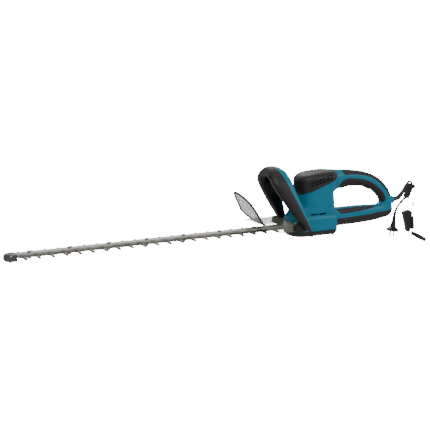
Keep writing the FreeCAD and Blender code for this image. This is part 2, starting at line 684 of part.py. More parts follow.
# ---------------------------------------------------------------- rear handle pieces
def grip_regions():
    """Outlines in XZ that part the casing's skin between its pieces."""
    cover = [(-240, 70), (-240, -38), (-187, -19), (-109, 9), (-96, 14), (-62, 41), (-62, 70)]
    top = [(-52, 60), (-52, 23), (-30, 22), (-6, 20), (22, 14), (50, 2), (72, -15), (92, -36), (108, -55),
           (130, -55), (130, 60)]
    lower = [(-80, -130), (-66, -88), (-59, -96), (-35, -101), (-11, -102), (31, -98), (73, -91),
             (100, -84), (124, -80), (124, -130)]
    panel = [(-66, 4), (-42, 11), (0, 8), (25, 2), (42, -7), (58, -19), (70, -33), (77, -48), (74, -56),
             (66, -42), (52, -27), (34, -13), (10, -5), (-14, -3), (-40, -3.5), (-60, -6)]
    pad = [(-71, -71), (-53, -80), (-25, -86), (0, -86), (30, -82.5), (66, -75.5), (50, -71), (0, -67), (-40, -67)]
    return cover, top, lower, panel, pad


def rear_trigger():
    """Long paddle along the underside of the upper grip, hinged at its front end."""
    outline = [(-70, 0), (-62, 3), (-30, 0.5), (0, -1), (26, -8), (44, -18), (48, -26), (38, -27), (26, -20.5),
               (8, -15), (-12, -13.5), (-38, -13.8), (-56, -16.5), (-66, -10)]
    paddle = smooth_slab(outline, -7.6, 7.6)
    paddle = soften(paddle, [e for e in paddle.Edges if e.BoundBox.YLength < 1e-3], (2.0, 1.2, 0.6))
    return one(paddle.cut(cyl(V(*TRIGGER_PIVOT) + Y * -20, V(*TRIGGER_PIVOT) + Y * 20, 2.06)))


TRIGGER_PIVOT = (-62.0, 0.0, -4.0)


# ---------------------------------------------------------------- cord, plug and lead hook
def along_axis(p, d, a, b, r0, r1):
    """Cone or cylinder on the axis p + t*d, from t = a to t = b."""
    if abs(r0 - r1) < 1e-6:
        return cyl(p + d * a, p + d * b, r0)
    return cone(p + d * a, p + d * b, r0, r1)


PLUG_TOP = V(134.5, 0, -103.5)
PLUG_DIR = V(-7.0, 0, -53.5).normalize()
PIN_TURN = math.radians(23.5)


def plug_body():
    """Moulded two-pin plug: collar, waist, flared grip and round face flange."""
    stages = [(0, 5, 4.6, 4.6), (5, 10, 3.9, 4.4), (10, 26, 4.4, 6.0), (26, 44, 6.0, 9.0),
              (44, 49, 9.0, 17.0), (49, 55, 18.0, 18.0)]
    body = None
    for a, b, r0, r1 in stages:
        piece = along_axis(PLUG_TOP, PLUG_DIR, a, b, r0, r1)
        body = piece if body is None else body.fuse(piece)
    for pin in plug_pin_axes():
        body = body.cut(cyl(pin + PLUG_DIR * 45, pin + PLUG_DIR * 60, 2.4))
    return one(body.cut(tube(CORD_ROUTE, CORD_R)))


def plug_pin_axes():
    side = V(math.cos(PIN_TURN), math.sin(PIN_TURN), 0)
    side = (side - PLUG_DIR * side.dot(PLUG_DIR)).normalize()
    return [PLUG_TOP + side * s for s in (-9.3, 9.3)]


def plug_pins():
    pins = []
    for pin in plug_pin_axes():
        shank = cyl(pin + PLUG_DIR * 45, pin + PLUG_DIR * 72, 2.4)
        tip = cone(pin + PLUG_DIR * 72, pin + PLUG_DIR * 74, 2.4, 1.4)
        pins.append(one(shank.fuse(tip)))
    return pins


CLIP_TOP, CLIP_LOW = V(186.0, 0, -24.0), V(169.5, 0, -63.5)


def cord_clip():
    """Block that clamps the cord's fold, with a thumb knob and a barb."""
    d = (CLIP_LOW - CLIP_TOP).normalize()
    side = V(-d.z, 0, d.x)
    if side.x < 0:
        side = side * -1
    corners = [CLIP_TOP - side * 5.5, CLIP_TOP + side * 8, CLIP_LOW + side * 7, CLIP_LOW - side * 5.5]
    block = slab([(p.x, p.z) for p in corners], -7, 7)
    block = block.makeFillet(1.5, along(block.Edges, Y))
    knob_at = CLIP_TOP + side * 10 + d * 5
    knob = cyl(knob_at - Y * 4, knob_at + Y * 4, 6.0)
    barb_at = CLIP_TOP + side * 8 + d * 20
    barb = slab([((barb_at - d * 5).x - 2, (barb_at - d * 5).z), ((barb_at + side * 5).x, (barb_at + side * 5).z),
                 ((barb_at + d * 4).x - 2, (barb_at + d * 4).z)], -3, 3)
    channel = tube(CORD_ROUTE, CORD_R + 0.15)
    return one(block.fuse(knob).fuse(barb).cut(channel).cut(loop_torus(UPPER_LOOP, STRING_R + 0.3)))


UPPER_LOOP = (V(173.5, -4.4, -84.5), 20.0)      # hangs beside the cord
LOWER_LOOP = (V(187.5, 0, -171.5), 11.5)


def loop_torus(loop, r):
    centre, radius = loop
    return Part.makeTorus(radius, r, centre, Y)


def loop_sleeve():
    """Crimp sleeve on the upper string loop."""
    centre, radius = UPPER_LOOP
    p = centre + X * radius
    sleeve = cyl(p - Z * 6, p + Z * 6, 2.3)
    return one(sleeve.cut(loop_torus(UPPER_LOOP, STRING_R)))


def extension_hook():
    """Flat hook that holds the extension lead: a body and a springy prong with a slot between."""
    outline = [(160, -106), (181, -101), (192, -108), (189, -117), (196, -122), (200, -157), (194, -160),
               (190.5, -156), (187.5, -124), (184, -124), (187, -158), (184, -167), (176, -165), (172, -150)]
    plate = slab(outline, -6.2, 6.2)
    plate = plate.cut(loop_torus(UPPER_LOOP, STRING_R + 0.3)).cut(loop_torus(LOWER_LOOP, STRING_R + 0.3))
    return one(plate)


def hook_toggle():
    """Ribbed bar at the end of the lower string loop."""
    p, q = V(197, 0, -172), V(243, 0, -197)
    d = (q - p).normalize()
    bar = cyl(p, q, 6.0)
    bar = bar.fuse(cyl(p + d * 14, q - d * 14, 6.8))
    return one(bar.cut(loop_torus(LOWER_LOOP, STRING_R + 0.3)))


# ---------------------------------------------------------------- assembly
def split_left_right(shape):
    left = shape.common(box(-400, 400, -150, 0, -200, 200))
    right = shape.common(box(-400, 400, 0, 150, -200, 200))
    return one(left), one(right)


# X, Z and the depth Y of the head of each screw across the casing
HOUSING_SCREWS = [(-88.0, -100.0, 30.0), (-88.0, -30.0, 30.0), (98.0, -80.0, 13.0), (-62.0, 17.0, 13.0)]


def housing_screw(x, z, head_y):
    """Screw across the casing, its head sunk in the right half."""
    shank = cyl(V(x, -10, z), V(x, head_y, z), 2.0)
    return one(shank.fuse(cyl(V(x, head_y, z), V(x, head_y + 3, z), 4.0)))


def add_bosses(shell):
    """Screw bosses across the casing, and the two bosses that hold the trigger's pin."""
    form = envelope(0)
    for x, z, head_y in HOUSING_SCREWS:
        boss = cyl(V(x, -60, z), V(x, 60, z), 5.2).common(form)
        shank = cyl(V(x, -10, z), V(x, head_y, z), 2.0)
        shell = shell.fuse(boss).cut(shank).cut(cyl(V(x, head_y, z), V(x, 60, z), 4.2))
    px, _, pz = TRIGGER_PIVOT
    for side in (-1, 1):
        boss = cyl(V(px, side * 8.2, pz), V(px, side * 16, pz), 4.5)
        shell = shell.fuse(boss)
    shell = shell.cut(cyl(V(px, -15, pz), V(px, 15, pz), 2.0))
    for x, y in TRAY_SCREWS:
        shell = shell.fuse(rod(x, y, SEAM_Z, -100, 5.0).common(form)).cut(rod(x, y, SEAM_Z - 1, -104, 2.0))
    return shell


def strain_relief():
    """Flexible sleeve with a flange inside the cord outlet."""
    start, end = V(112.0, 0, -66.2), V(141.0, 0, -62.0)
    d = (end - start).normalize()
    sleeve = tube(RELIEF_ROUTE, 6.0, "strain relief")
    return one(sleeve.fuse(cyl(start, start + d * 4, 8.2)))


def cord_clamp():
    """Clamp block that grips the cord inside the casing."""
    block = box(92, 106, -10, 10, -74.5, -60)
    return one(block.cut(cyl(V(80, 0, -70.5), V(112, 0, -66.3), 3.6)))


def rear_switch():
    """Trigger switch: body and its plunger."""
    body = box(-42, -8, -7, 7, 10, 24)
    body = body.makeFillet(1.0, along(body.Edges, Y))
    return one(body.fuse(box(-22, -14, -3, 3, 7.5, 10)))


def coil_spring(p, q, r):
    """Small spring drawn as a sleeve."""
    return cyl(p, q, r).cut(cyl(p - (q - p) * 0.1, q + (q - p) * 0.1, r - 0.9))


def make_casing():
    """All moulded pieces of the casing, cut from one hollow form."""
    cover, top, lower, panel, pad = grip_regions()
    shell = envelope(0).cut(envelope(WALL))
    blade_slot = box(-240, -205, -20, 20, -122.5, -103)
    trigger_slot = slab([(-70, 6), (-70, -30), (51, -40), (51, -8), (20, 6)], -8, 8)
    cord_hole = cyl(V(95, 0, -68.4), V(126, 0, -64.2), 6.3)
    shell = shell.cut(blade_slot).cut(trigger_slot).cut(cord_hole)
    for x in (-168, -144, -120):
        for side in (-1, 1):
            shell = shell.cut(box(x, x + 18, *sorted((side * 38, side * 50)), -78, -74))
    shell = add_bosses(shell)
    cover_region = slab(cover, -60, 60)
    top_region = slab(top, -30, 30)
    lower_region = slab(lower, -30, 30)
    panel_region = slab(panel, 14.0, 30).fuse(slab(panel, -30, -14.0))
    pad_region = slab(pad, 8.0, 30).fuse(slab(pad, -30, -8.0))
    motor_cover = shell.common(cover_region)
    grip_top = shell.common(top_region)
    grip_lower = shell.common(lower_region)
    rest = shell.cut(cover_region).cut(top_region).cut(lower_region)
    panels = rest.common(panel_region)
    pads = rest.common(pad_region)
    rest = rest.cut(panel_region).cut(pad_region)
    return motor_cover, grip_top, grip_lower, panels, pads, rest


def under_cover():
    """Tray that closes the casing from below."""
    outer = rounded_plan(NOSE_X, BASE_Y, REAR_X, 22.0, 0, BASE_Z0, SEAM_Z, 0)
    outer = outer.makeFillet(9.0, at_height(outer, BASE_Z0))
    floor = BASE_Z0 + WALL
    inner = rounded_plan(NOSE_X, BASE_Y, REAR_X, 22.0, WALL, floor, SEAM_Z + 1, 0)
    tray = outer.cut(inner.makeFillet(9.0 - WALL, at_height(inner, floor)))
    for x, y in TRAY_SCREWS:
        tray = tray.fuse(rod(x, y, floor, SEAM_Z, 4.5)).cut(rod(x, y, BASE_Z0 - 1, SEAM_Z + 1, 2.05))
        tray = tray.cut(rod(x, y, BASE_Z0 - 1, floor + 1, 4.3))
    return one(tray)


TRAY_SCREWS = [(-164.0, 39.5), (-164.0, -39.5), (-97.0, 38.5), (-97.0, -38.5)]


def tray_screw(x, y):
    """Screw that holds the lower tray to the casing."""
    floor = BASE_Z0 + WALL
    return one(rod(x, y, floor + 1, -104.0, 2.0).fuse(rod(x, y, floor - 2, floor + 1, 4.0)))


def side_vents(cover):
    """Slanted vent slots through both sides and the front of the motor cover."""
    for side in (-1, 1):
        for row in (0, 1):
            for k in range(6):
                x = -176 + 11.5 * k
                z = 1 + 0.28 * (x + 176) + 8 * row
                slot = slab([(x, z), (x + 8.5, z + 2.2), (x + 8.5, z + 5.6), (x, z + 3.4)],
                            *sorted((side * 20, side * 50)))
                cover = cover.cut(slot)
    for row in range(3):
        for side in (-1, 1):
            y0, y1 = sorted((side * 4, side * 17))
            cover = cover.cut(box(-200, -180, y0, y1, -4 + 8 * row, 0 + 8 * row))
    return cover


def make_all():
    os.makedirs("parts", exist_ok=True)

    motor_cover, grip_top, grip_lower, panels, pads, rest = make_casing()
    motor_cover = side_vents(motor_cover)
    left, right = split_left_right(rest)
    save("housing_left", left)
    save("housing_right", right)
    save("motor_cover", *motor_cover.Solids)
    save("rear_grip_top", *grip_top.Solids)
    save("rear_grip_lower", *grip_lower.Solids)
    save("side_grip_inserts", *panels.Solids)
    save("lower_grip_pads", *pads.Solids)
    save("under_cover", under_cover())

    front, rear = loop_halves()
    save("front_handle_front_shell", *front.Solids)
    save("front_handle_rear_shell", *rear.Solids)
    save("front_handle_feet", *[handle_foot(s) for s in (-1, 1)])
    save("front_lever", front_lever_solid())
    save("hand_guard", hand_guard())
    save("rear_trigger", rear_trigger())

    save("guide_bar", guide_bar())
    for name, z0 in (("upper_blade", UPPER_Z), ("lower_blade", LOWER_Z)):
        spine, teeth = spine_and_teeth(cutting_blade(z0), z0)
        save(name, spine)
        save(name + "_teeth", *teeth)
    save("blade_bolts", *[blade_bolt(x) for x in bolt_places()])
    save("blade_nuts", *[blade_nut(x) for x in bolt_places()])
    save("tip_cap", tip_cap())
    save("tip_screw", tip_screw())

    save("drive_gear", drive_gear())
    save("crank", crank())
    save("clutch_plate", ring(CRANK_X, 0, GEAR_Z1 + 0.2, GEAR_Z1 + 2.0, 16, 6.0))
    save("clutch_spring", ring(CRANK_X, 0, GEAR_Z1 + 2.0, GEAR_Z1 + 3.4, 12, 6.0))
    save("gear_case", gear_case())
    save("bearing_plate", bearing_plate())
    save("crank_bushes", ring(CRANK_X, 0, CASE_Z0, CASE_Z1, 10, 6.05), ring(CRANK_X, 0, -121, -117.5, 9, 6.05))
    save("post_screws", *[post_screw(x, y) for x, y in POSTS])

    save("armature_shaft", armature_shaft())
    save("armature_core", armature_core())
    save("armature_windings", *armature_windings())
    save("commutator", commutator())
    save("cooling_fan", cooling_fan())
    save("stator_core", stator_core())
    save("field_coils", *field_coils())
    holders, brushes, springs = brush_parts()
    save("brush_holders", *holders)
    save("carbon_brushes", *brushes)
    save("brush_springs", *springs)
    save("bearing_bracket", bearing_bracket())
    save("armature_bearings", ring(MOTOR_X, 0, CASE_Z0, CASE_Z1, 11, 4.05), ring(MOTOR_X, 0, 12, 19.5, 11, 4.05))

    save("rear_switch", rear_switch())
    save("front_switch", box(-276, -256, -12, 12, 45, 52.5))
    save("suppressor", cyl(V(-20, 0, -96), V(12, 0, -96), 8.0))
    save("cord_clamp", cord_clamp())
    save("trigger_pin", cyl(V(TRIGGER_PIVOT[0], -15, TRIGGER_PIVOT[2]), V(TRIGGER_PIVOT[0], 15, TRIGGER_PIVOT[2]), 2.0))
    save("trigger_spring", coil_spring(V(20, 0, 7), V(20, 0, 15), 4.0))
    save("housing_screws", *[housing_screw(*place) for place in HOUSING_SCREWS],
         *[tray_screw(x, y) for x, y in TRAY_SCREWS])
    spans = handle_screw_spans()
    save("handle_screws", *[handle_screw(y, z, span) for (y, z), span in zip(HANDLE_SCREWS, spans)],
         guard_screw(-52), guard_screw(52))

    save("strain_relief", strain_relief())
    save("supply_cord", tube(CORD_ROUTE, CORD_R, "cord"))
    save("plug_body", plug_body())
    save("plug_pins", *plug_pins())
    save("cord_clip", cord_clip())
    save("string_loop_upper", loop_torus(UPPER_LOOP, STRING_R), loop_sleeve())
    save("string_loop_lower", loop_torus(LOWER_LOOP, STRING_R))
    save("extension_hook", extension_hook())
    save("hook_toggle", hook_toggle())


make_all()
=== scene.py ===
"""Looks of an electric hedge trimmer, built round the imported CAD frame.

Metres, in the frame's own axes: the blade points along -X, the operator stands at +X and +Z is up.
"""
from __future__ import annotations

import json
import logging
import math
from dataclasses import dataclass
from enum import Enum
from typing import Callable, Iterable, Sequence

import bmesh
import bpy
import numpy as np
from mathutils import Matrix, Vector


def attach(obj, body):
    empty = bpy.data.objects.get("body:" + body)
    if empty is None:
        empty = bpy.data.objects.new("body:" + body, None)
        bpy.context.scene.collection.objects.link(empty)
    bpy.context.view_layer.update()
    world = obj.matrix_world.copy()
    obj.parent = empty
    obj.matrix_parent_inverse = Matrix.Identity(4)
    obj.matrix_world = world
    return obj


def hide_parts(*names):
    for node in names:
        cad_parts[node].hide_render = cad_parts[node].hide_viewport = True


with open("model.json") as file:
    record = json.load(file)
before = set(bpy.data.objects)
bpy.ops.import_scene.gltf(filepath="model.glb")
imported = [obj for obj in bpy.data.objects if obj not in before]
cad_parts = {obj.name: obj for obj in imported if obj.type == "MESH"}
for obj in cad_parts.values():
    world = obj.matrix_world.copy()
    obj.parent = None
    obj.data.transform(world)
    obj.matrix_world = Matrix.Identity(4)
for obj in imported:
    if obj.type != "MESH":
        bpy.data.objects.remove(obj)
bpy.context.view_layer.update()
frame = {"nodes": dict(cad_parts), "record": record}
LOG = logging.getLogger("hedge_trimmer")
Array = np.ndarray
Group = bpy.types.ShaderNodeTree
Socket = bpy.types.NodeSocket
Pair = tuple[float, float]
# Points of a flat line, and the points and faces of a closed surface.
Line = tuple[Pair, ...]
Shape = tuple[Iterable, Iterable]
MM = 0.001
ROUND = 2 * np.pi
CREASE = 38.0


class Body(Enum):
    """Bodies of the frame that pieces ride on."""

    ROOT = "root"
    UPPER_BLADE = "upper_blade"
    LOWER_BLADE = "lower_blade"


class Surface(Enum):
    """Kinds of fine surface that a finish may have."""

    MOULDED = "moulded plastic"
    BRUSHED = "brushed metal"
    CAST = "cast or sintered metal"


# ------------------------------------------------------------------ node groups
COLOR, FLOAT, VECTOR = "NodeSocketColor", "NodeSocketFloat", "NodeSocketVector"


def new_group(name: str, grain: tuple[str, str, object], gloss: Pair) -> Group:
    """Makes an empty surface group: a place, two shades, a grain and a gloss range go in.

    Args:
        name: name of the group.
        grain: socket type, name and start value of the input that sets the grain.
        gloss: start values of the gloss range.

    Returns:
        The node tree, with a node "in" and a node "out".
    """
    shades = [(COLOR, "Light", (0.6, 0.6, 0.6, 1)), (COLOR, "Deep", (0.4, 0.4, 0.4, 1))]
    range_ends = [(FLOAT, "Gloss Low", gloss[0]), (FLOAT, "Gloss High", gloss[1])]
    inputs = [(VECTOR, "Place", None), *shades, grain, *range_ends]
    outputs = [(COLOR, "Color"), (FLOAT, "Roughness"), (FLOAT, "Height")]
    tree = bpy.data.node_groups.new(name, "ShaderNodeTree")
    for kind, label, value in inputs:
        socket = tree.interface.new_socket(label, in_out="INPUT", socket_type=kind)
        if value is not None:
            socket.default_value = value
    for kind, label in outputs:
        tree.interface.new_socket(label, in_out="OUTPUT", socket_type=kind)
    tree.nodes.new("NodeGroupInput").name = "in"
    tree.nodes.new("NodeGroupOutput").name = "out"
    return tree


def add(tree: bpy.types.NodeTree, kind: str, links: dict[str, Socket] | None = None,
        **values: object) -> bpy.types.Node:
    """Adds a node, sets its options and sockets, and links its inputs.

    Args:
        tree: tree that gets the node.
        kind: type name of the node.
        links: source socket for each named or numbered input.
        values: options of the node, or start values of inputs where the name begins with "s_".

    Returns:
        The new node.
    """
    node = tree.nodes.new(kind)
    for key, value in values.items():
        if key.startswith("s_"):
            label = key[2:]
            node.inputs[int(label) if label.isdigit() else label.replace("_", " ")].default_value = value
        else:
            setattr(node, key, value)
    for key, source in (links or {}).items():
        tree.links.new(source, node.inputs[int(key) if key.isdigit() else key])
    return node


def finish_group(tree: Group, shade_from: Socket, shade_range: Pair,
                 gloss_from: Socket, gloss_range: Pair, height: Socket,
                 turned: bool = False) -> None:
    """Mixes the two shades by one pattern, sets the gloss by another and joins the outputs.

    Args:
        tree: the group.
        shade_from: pattern that picks between the deep and the light shade.
        shade_range: values of that pattern that give the pure shades.
        gloss_from: pattern that picks between the ends of the gloss range.
        gloss_range: values of that pattern that give the ends.
        height: pattern that feeds the bump.
        turned: whether a high value of the gloss pattern gives the low end.
    """
    source, out = tree.nodes["in"].outputs, tree.nodes["out"]
    shade = add(tree, "ShaderNodeMapRange", {"Value": shade_from}, s_From_Min=shade_range[0],
                s_From_Max=shade_range[1])
    share = shade.outputs["Result"]
    colour = add(tree, "ShaderNodeMix", {"Factor": share, "6": source["Deep"], "7": source["Light"]},
                 data_type="RGBA")
    first, last = ("Gloss High", "Gloss Low") if turned else ("Gloss Low", "Gloss High")
    ends = {"Value": gloss_from, "To Min": source[first], "To Max": source[last]}
    gloss = add(tree, "ShaderNodeMapRange", ends, s_From_Min=gloss_range[0], s_From_Max=gloss_range[1])
    tree.links.new(colour.outputs[2], out.inputs["Color"])
    tree.links.new(gloss.outputs["Result"], out.inputs["Roughness"])
    tree.links.new(height, out.inputs["Height"])


def moulded_group() -> Group:
    """Spark-eroded mould grain: fine cells for the bump, broad clouds for shade and gloss.

    Returns:
        The group.
    """
    tree = new_group("moulded surface", (FLOAT, "Grain Size", 900.0), (0.3, 0.4))
    source = tree.nodes["in"].outputs
    grain = {"Vector": source["Place"], "Scale": source["Grain Size"]}
    cells = add(tree, "ShaderNodeTexVoronoi", grain, feature="SMOOTH_F1", s_Smoothness=0.6)
    fine = add(tree, "ShaderNodeTexNoise", grain, s_Detail=3.0)
    height = add(tree, "ShaderNodeMath", {"0": cells.outputs["Distance"], "1": fine.outputs["Fac"]},
                 operation="ADD")
    cloud = add(tree, "ShaderNodeTexNoise", {"Vector": source["Place"]}, s_Scale=38.0, s_Detail=5.0,
                s_Roughness=0.6)
    broad = cloud.outputs["Fac"]
    finish_group(tree, broad, (0.3, 0.7), broad, (0.3, 0.7), height.outputs[0])
    return tree


def brushed_group() -> Group:
    """Grinding marks: noise stretched by a factor for each axis, with broad stains added for the shade.

    Returns:
        The group.
    """
    tree = new_group("brushed metal", (VECTOR, "Stretch", (20.0, 900.0, 900.0)), (0.25, 0.45))
    source = tree.nodes["in"].outputs
    drawn = add(tree, "ShaderNodeVectorMath", {"0": source["Place"], "1": source["Stretch"]},
                operation="MULTIPLY")
    marks = add(tree, "ShaderNodeTexNoise", {"Vector": drawn.outputs["Vector"]}, s_Scale=1.0, s_Detail=4.0,
                s_Roughness=0.65)
    stain = add(tree, "ShaderNodeTexNoise", {"Vector": source["Place"]}, s_Scale=26.0, s_Detail=6.0,
                s_Roughness=0.62)
    both = add(tree, "ShaderNodeMath", {"0": marks.outputs["Fac"], "1": stain.outputs["Fac"]}, operation="ADD")
    fine = marks.outputs["Fac"]
    finish_group(tree, both.outputs[0], (0.7, 1.25), fine, (0.3, 0.7), fine)
    return tree


def cast_group() -> Group:
    """Cast skin: lumpy noise whose hollows are deeper in shade and rougher.

    Returns:
        The group.
    """
    tree = new_group("cast metal", (FLOAT, "Grain Size", 500.0), (0.4, 0.6))
    source = tree.nodes["in"].outputs
    noise = add(tree, "ShaderNodeTexNoise", {"Vector": source["Place"], "Scale": source["Grain Size"]},
                s_Detail=4.0, s_Roughness=0.7)
    lumps = noise.outputs["Fac"]
    finish_group(tree, lumps, (0.35, 0.62), lumps, (0.35, 0.62), lumps, turned=True)
    return tree


GROUP_MAKERS: dict[Surface, Callable[[], Group]] = {
    Surface.MOULDED: moulded_group, Surface.BRUSHED: brushed_group, Surface.CAST: cast_group}


# ------------------------------------------------------------------ finishes
@dataclass(frozen=True)
class Finish:
    """One finish: its name, two shades, gloss range and fine surface."""

    slot: str
    surface: Surface
    light: tuple[float, float, float]
    deep: tuple[float, float, float]
    gloss: Pair
    grain: float = 900.0
    stretch: tuple[float, float, float] = (20.0, 900.0, 900.0)
    bump_depth: float = 0.00003
    bump_strength: float = 0.25
    metallic: float = 0.0
    alpha: float = 1.0
    specular: float = 0.5

    def build(self, groups: dict[Surface, Group]) -> bpy.types.Material:
        """Makes the material.

        Args:
            groups: the shared node groups.

        Returns:
            A material whose Principled shader is fed by the finish's group.
        """
        material = bpy.data.materials.new(self.slot)
        material.use_nodes = True
        tree = material.node_tree
        shader = tree.nodes["Principled BSDF"]
        shader.inputs["Metallic"].default_value = self.metallic
        shader.inputs["Alpha"].default_value = self.alpha
        shader.inputs["Specular IOR Level"].default_value = self.specular
        place = add(tree, "ShaderNodeTexCoord")
        group = add(tree, "ShaderNodeGroup", node_tree=groups[self.surface])
        tree.links.new(place.outputs["Object"], group.inputs["Place"])
        group.inputs["Light"].default_value = (*self.light, 1.0)
        group.inputs["Deep"].default_value = (*self.deep, 1.0)
        group.inputs["Gloss Low"].default_value, group.inputs["Gloss High"].default_value = self.gloss
        if self.surface is Surface.BRUSHED:
            group.inputs["Stretch"].default_value = self.stretch
        else:
            group.inputs["Grain Size"].default_value = self.grain
        bump = add(tree, "ShaderNodeBump", {"Height": group.outputs["Height"]}, s_Distance=self.bump_depth,
                   s_Strength=self.bump_strength)
        tree.links.new(group.outputs["Color"], shader.inputs["Base Color"])
        tree.links.new(group.outputs["Roughness"], shader.inputs["Roughness"])
        tree.links.new(bump.outputs["Normal"], shader.inputs["Normal"])
        return material


FINISHES: tuple[Finish, ...] = (
    Finish("teal_shell", Surface.MOULDED, (0.0, 0.135, 0.215), (0.0, 0.12, 0.19), (0.36, 0.44), specular=0.25),
    Finish("charcoal_plastic", Surface.MOULDED, (0.014, 0.0115, 0.012), (0.0105, 0.009, 0.0095), (0.42, 0.52),
           700.0, bump_strength=0.5, specular=0.3),
    Finish("grip_rubber", Surface.MOULDED, (0.0155, 0.0125, 0.013), (0.0115, 0.0098, 0.0102), (0.5, 0.62), 600.0,
           bump_depth=0.00006, bump_strength=0.5, specular=0.3),
    Finish("black_plastic", Surface.MOULDED, (0.003, 0.003, 0.0032), (0.002, 0.002, 0.0022), (0.24, 0.34),
           specular=0.4),
    Finish("smoked_clear", Surface.MOULDED, (0.17, 0.175, 0.175), (0.14, 0.144, 0.144), (0.2, 0.3), 350.0,
           alpha=0.86),
    Finish("guard_edge", Surface.MOULDED, (0.028, 0.03, 0.03), (0.02, 0.022, 0.022), (0.2, 0.3), specular=0.4),
    Finish("saddle_clear", Surface.MOULDED, (0.16, 0.165, 0.135), (0.1, 0.105, 0.085), (0.08, 0.2), 350.0,
           bump_depth=0.00005, alpha=0.55),
    Finish("bar_steel", Surface.BRUSHED, (0.5, 0.49, 0.46), (0.33, 0.32, 0.3), (0.28, 0.42), metallic=1.0),
    Finish("blade_steel", Surface.BRUSHED, (0.24, 0.23, 0.2), (0.11, 0.105, 0.09), (0.3, 0.48), metallic=1.0),
    Finish("cap_chrome", Surface.BRUSHED, (0.13, 0.13, 0.14), (0.06, 0.06, 0.065), (0.1, 0.2), metallic=1.0),
    Finish("fastener_steel", Surface.BRUSHED, (0.42, 0.41, 0.4), (0.25, 0.24, 0.23), (0.3, 0.45), metallic=1.0,
           stretch=(400.0, 400.0, 400.0)),
    Finish("cast_alloy", Surface.CAST, (0.55, 0.55, 0.56), (0.4, 0.4, 0.41), (0.45, 0.6), 420.0, metallic=1.0),
    Finish("gear_steel", Surface.BRUSHED, (0.42, 0.41, 0.4), (0.28, 0.27, 0.26), (0.25, 0.4), metallic=1.0,
           stretch=(500.0, 500.0, 60.0)),
    Finish("lamination_steel", Surface.BRUSHED, (0.3, 0.3, 0.31), (0.12, 0.12, 0.13), (0.4, 0.55), metallic=1.0,
           stretch=(8.0, 8.0, 2200.0)),
    Finish("copper_winding", Surface.BRUSHED, (0.3, 0.11, 0.045), (0.14, 0.045, 0.02), (0.25, 0.4), metallic=1.0,
           stretch=(1800.0, 30.0, 1800.0)),
    Finish("fan_plastic", Surface.MOULDED, (0.06, 0.06, 0.065), (0.045, 0.045, 0.05), (0.4, 0.5)),
    Finish("carbon", Surface.CAST, (0.03, 0.03, 0.03), (0.015, 0.015, 0.015), (0.6, 0.75), 1200.0),
    Finish("bronze_bush", Surface.CAST, (0.58, 0.38, 0.17), (0.4, 0.25, 0.1), (0.35, 0.5), 900.0, metallic=1.0),
    Finish("pin_brass", Surface.BRUSHED, (0.62, 0.61, 0.58), (0.4, 0.39, 0.37), (0.18, 0.3), metallic=1.0,
           stretch=(900.0, 900.0, 60.0)),
    Finish("cord_rubber", Surface.MOULDED, (0.01, 0.01, 0.01), (0.007, 0.007, 0.007), (0.4, 0.52), 1100.0),
    Finish("string_nylon", Surface.BRUSHED, (0.22, 0.23, 0.24), (0.12, 0.125, 0.13), (0.4, 0.5),
           stretch=(1500.0, 1500.0, 1500.0)),
)


class Paintbox:
    """Every material of the model, made once and looked up by the name of its finish."""

    def __init__(self) -> None:
        """Builds the shared node groups and the materials."""
        groups = {kind: maker() for kind, maker in GROUP_MAKERS.items()}
        self.materials = {finish.slot: finish.build(groups) for finish in FINISHES}

    def dress(self, piece: bpy.types.Object, slot: str) -> None:
        """Gives a piece the material of a finish."""
        piece.data.materials.clear()
        piece.data.materials.append(self.materials[slot])

    def dress_frame(self) -> None:
        """Gives every CAD node the material of its recorded slot."""
        for row in frame["record"]["subparts"]:
            piece = frame["nodes"][row["node"]]
            for place in piece.material_slots:
                place.material = self.materials[row["material_slot"]]
            if not piece.material_slots:
                piece.data.materials.append(self.materials[row["material_slot"]])


# ------------------------------------------------------------------ mesh tools
def spline(points: Sequence[Sequence[float]], at: Array, closed: bool = False) -> Array:
    """Smooth curve through points: cubic stretches whose end slopes are half the step between neighbours.

    Args:
        points: control points, any number of columns.
        at: parameters, where whole numbers fall on the control points.
        closed: whether the curve returns to its first point.

    Returns:
        One row per parameter.
    """
    p = np.asarray(points, float)
    n = len(p)
    low = np.floor(at).astype(int)
    if not closed:
        low = np.clip(low, 0, n - 2)
    near = [low - 1, low, low + 1, low + 2]
    a, b, c, d = (p[np.mod(i, n) if closed else np.clip(i, 0, n - 1)] for i in near)
    f = (at - low)[..., None]
    m0, m1 = (c - a) / 2, (d - b) / 2
    return ((2 * f**3 - 3 * f**2 + 1) * b + (f**3 - 2 * f**2 + f) * m0
            + (3 * f**2 - 2 * f**3) * c + (f**3 - f**2) * m1)


def quads(rows: int, cols: int, wrap_rows: bool = False, wrap_cols: bool = False) -> Array:
    """Faces of a grid of points that are numbered row by row.

    Args:
        rows: number of rows of points.
        cols: number of points in a row.
        wrap_rows: whether the last row joins the first.
        wrap_cols: whether each row closes on itself.

    Returns:
        Four point numbers per face.
    """
    i = np.arange(rows if wrap_rows else rows - 1)[:, None]
    j = np.arange(cols if wrap_cols else cols - 1)[None, :]
    i2, j2 = (i + 1) % rows, (j + 1) % cols
    faces = np.stack(np.broadcast_arrays(i * cols + j, i * cols + j2, i2 * cols + j2, i2 * cols + j), -1)
    return faces.reshape(-1, 4)


def volume(points: Array, faces: Array) -> float:
    """Signed volume inside four-cornered faces: the sum of the tetrahedra from the origin to their halves.

    Args:
        points: the points.
        faces: four point numbers per face.

    Returns:
        The volume, positive where the faces point outwards.
    """
    a, b, c, d = (points[faces[:, k]] for k in range(4))
    return float((np.cross(a, b) * c).sum() + (np.cross(a, c) * d).sum()) / 6


def outward(points: Array, faces: Array, out: bool = True) -> Array:
    """Turns the faces of a closed surface all one way.

    Args:
        points: the points.
        faces: four point numbers per face.
        out: whether they should point outwards; they point inwards round a hollow.

    Returns:
        The faces, turned where needed.
    """
    return faces if (volume(points, faces) > 0) == out else faces[:, ::-1]


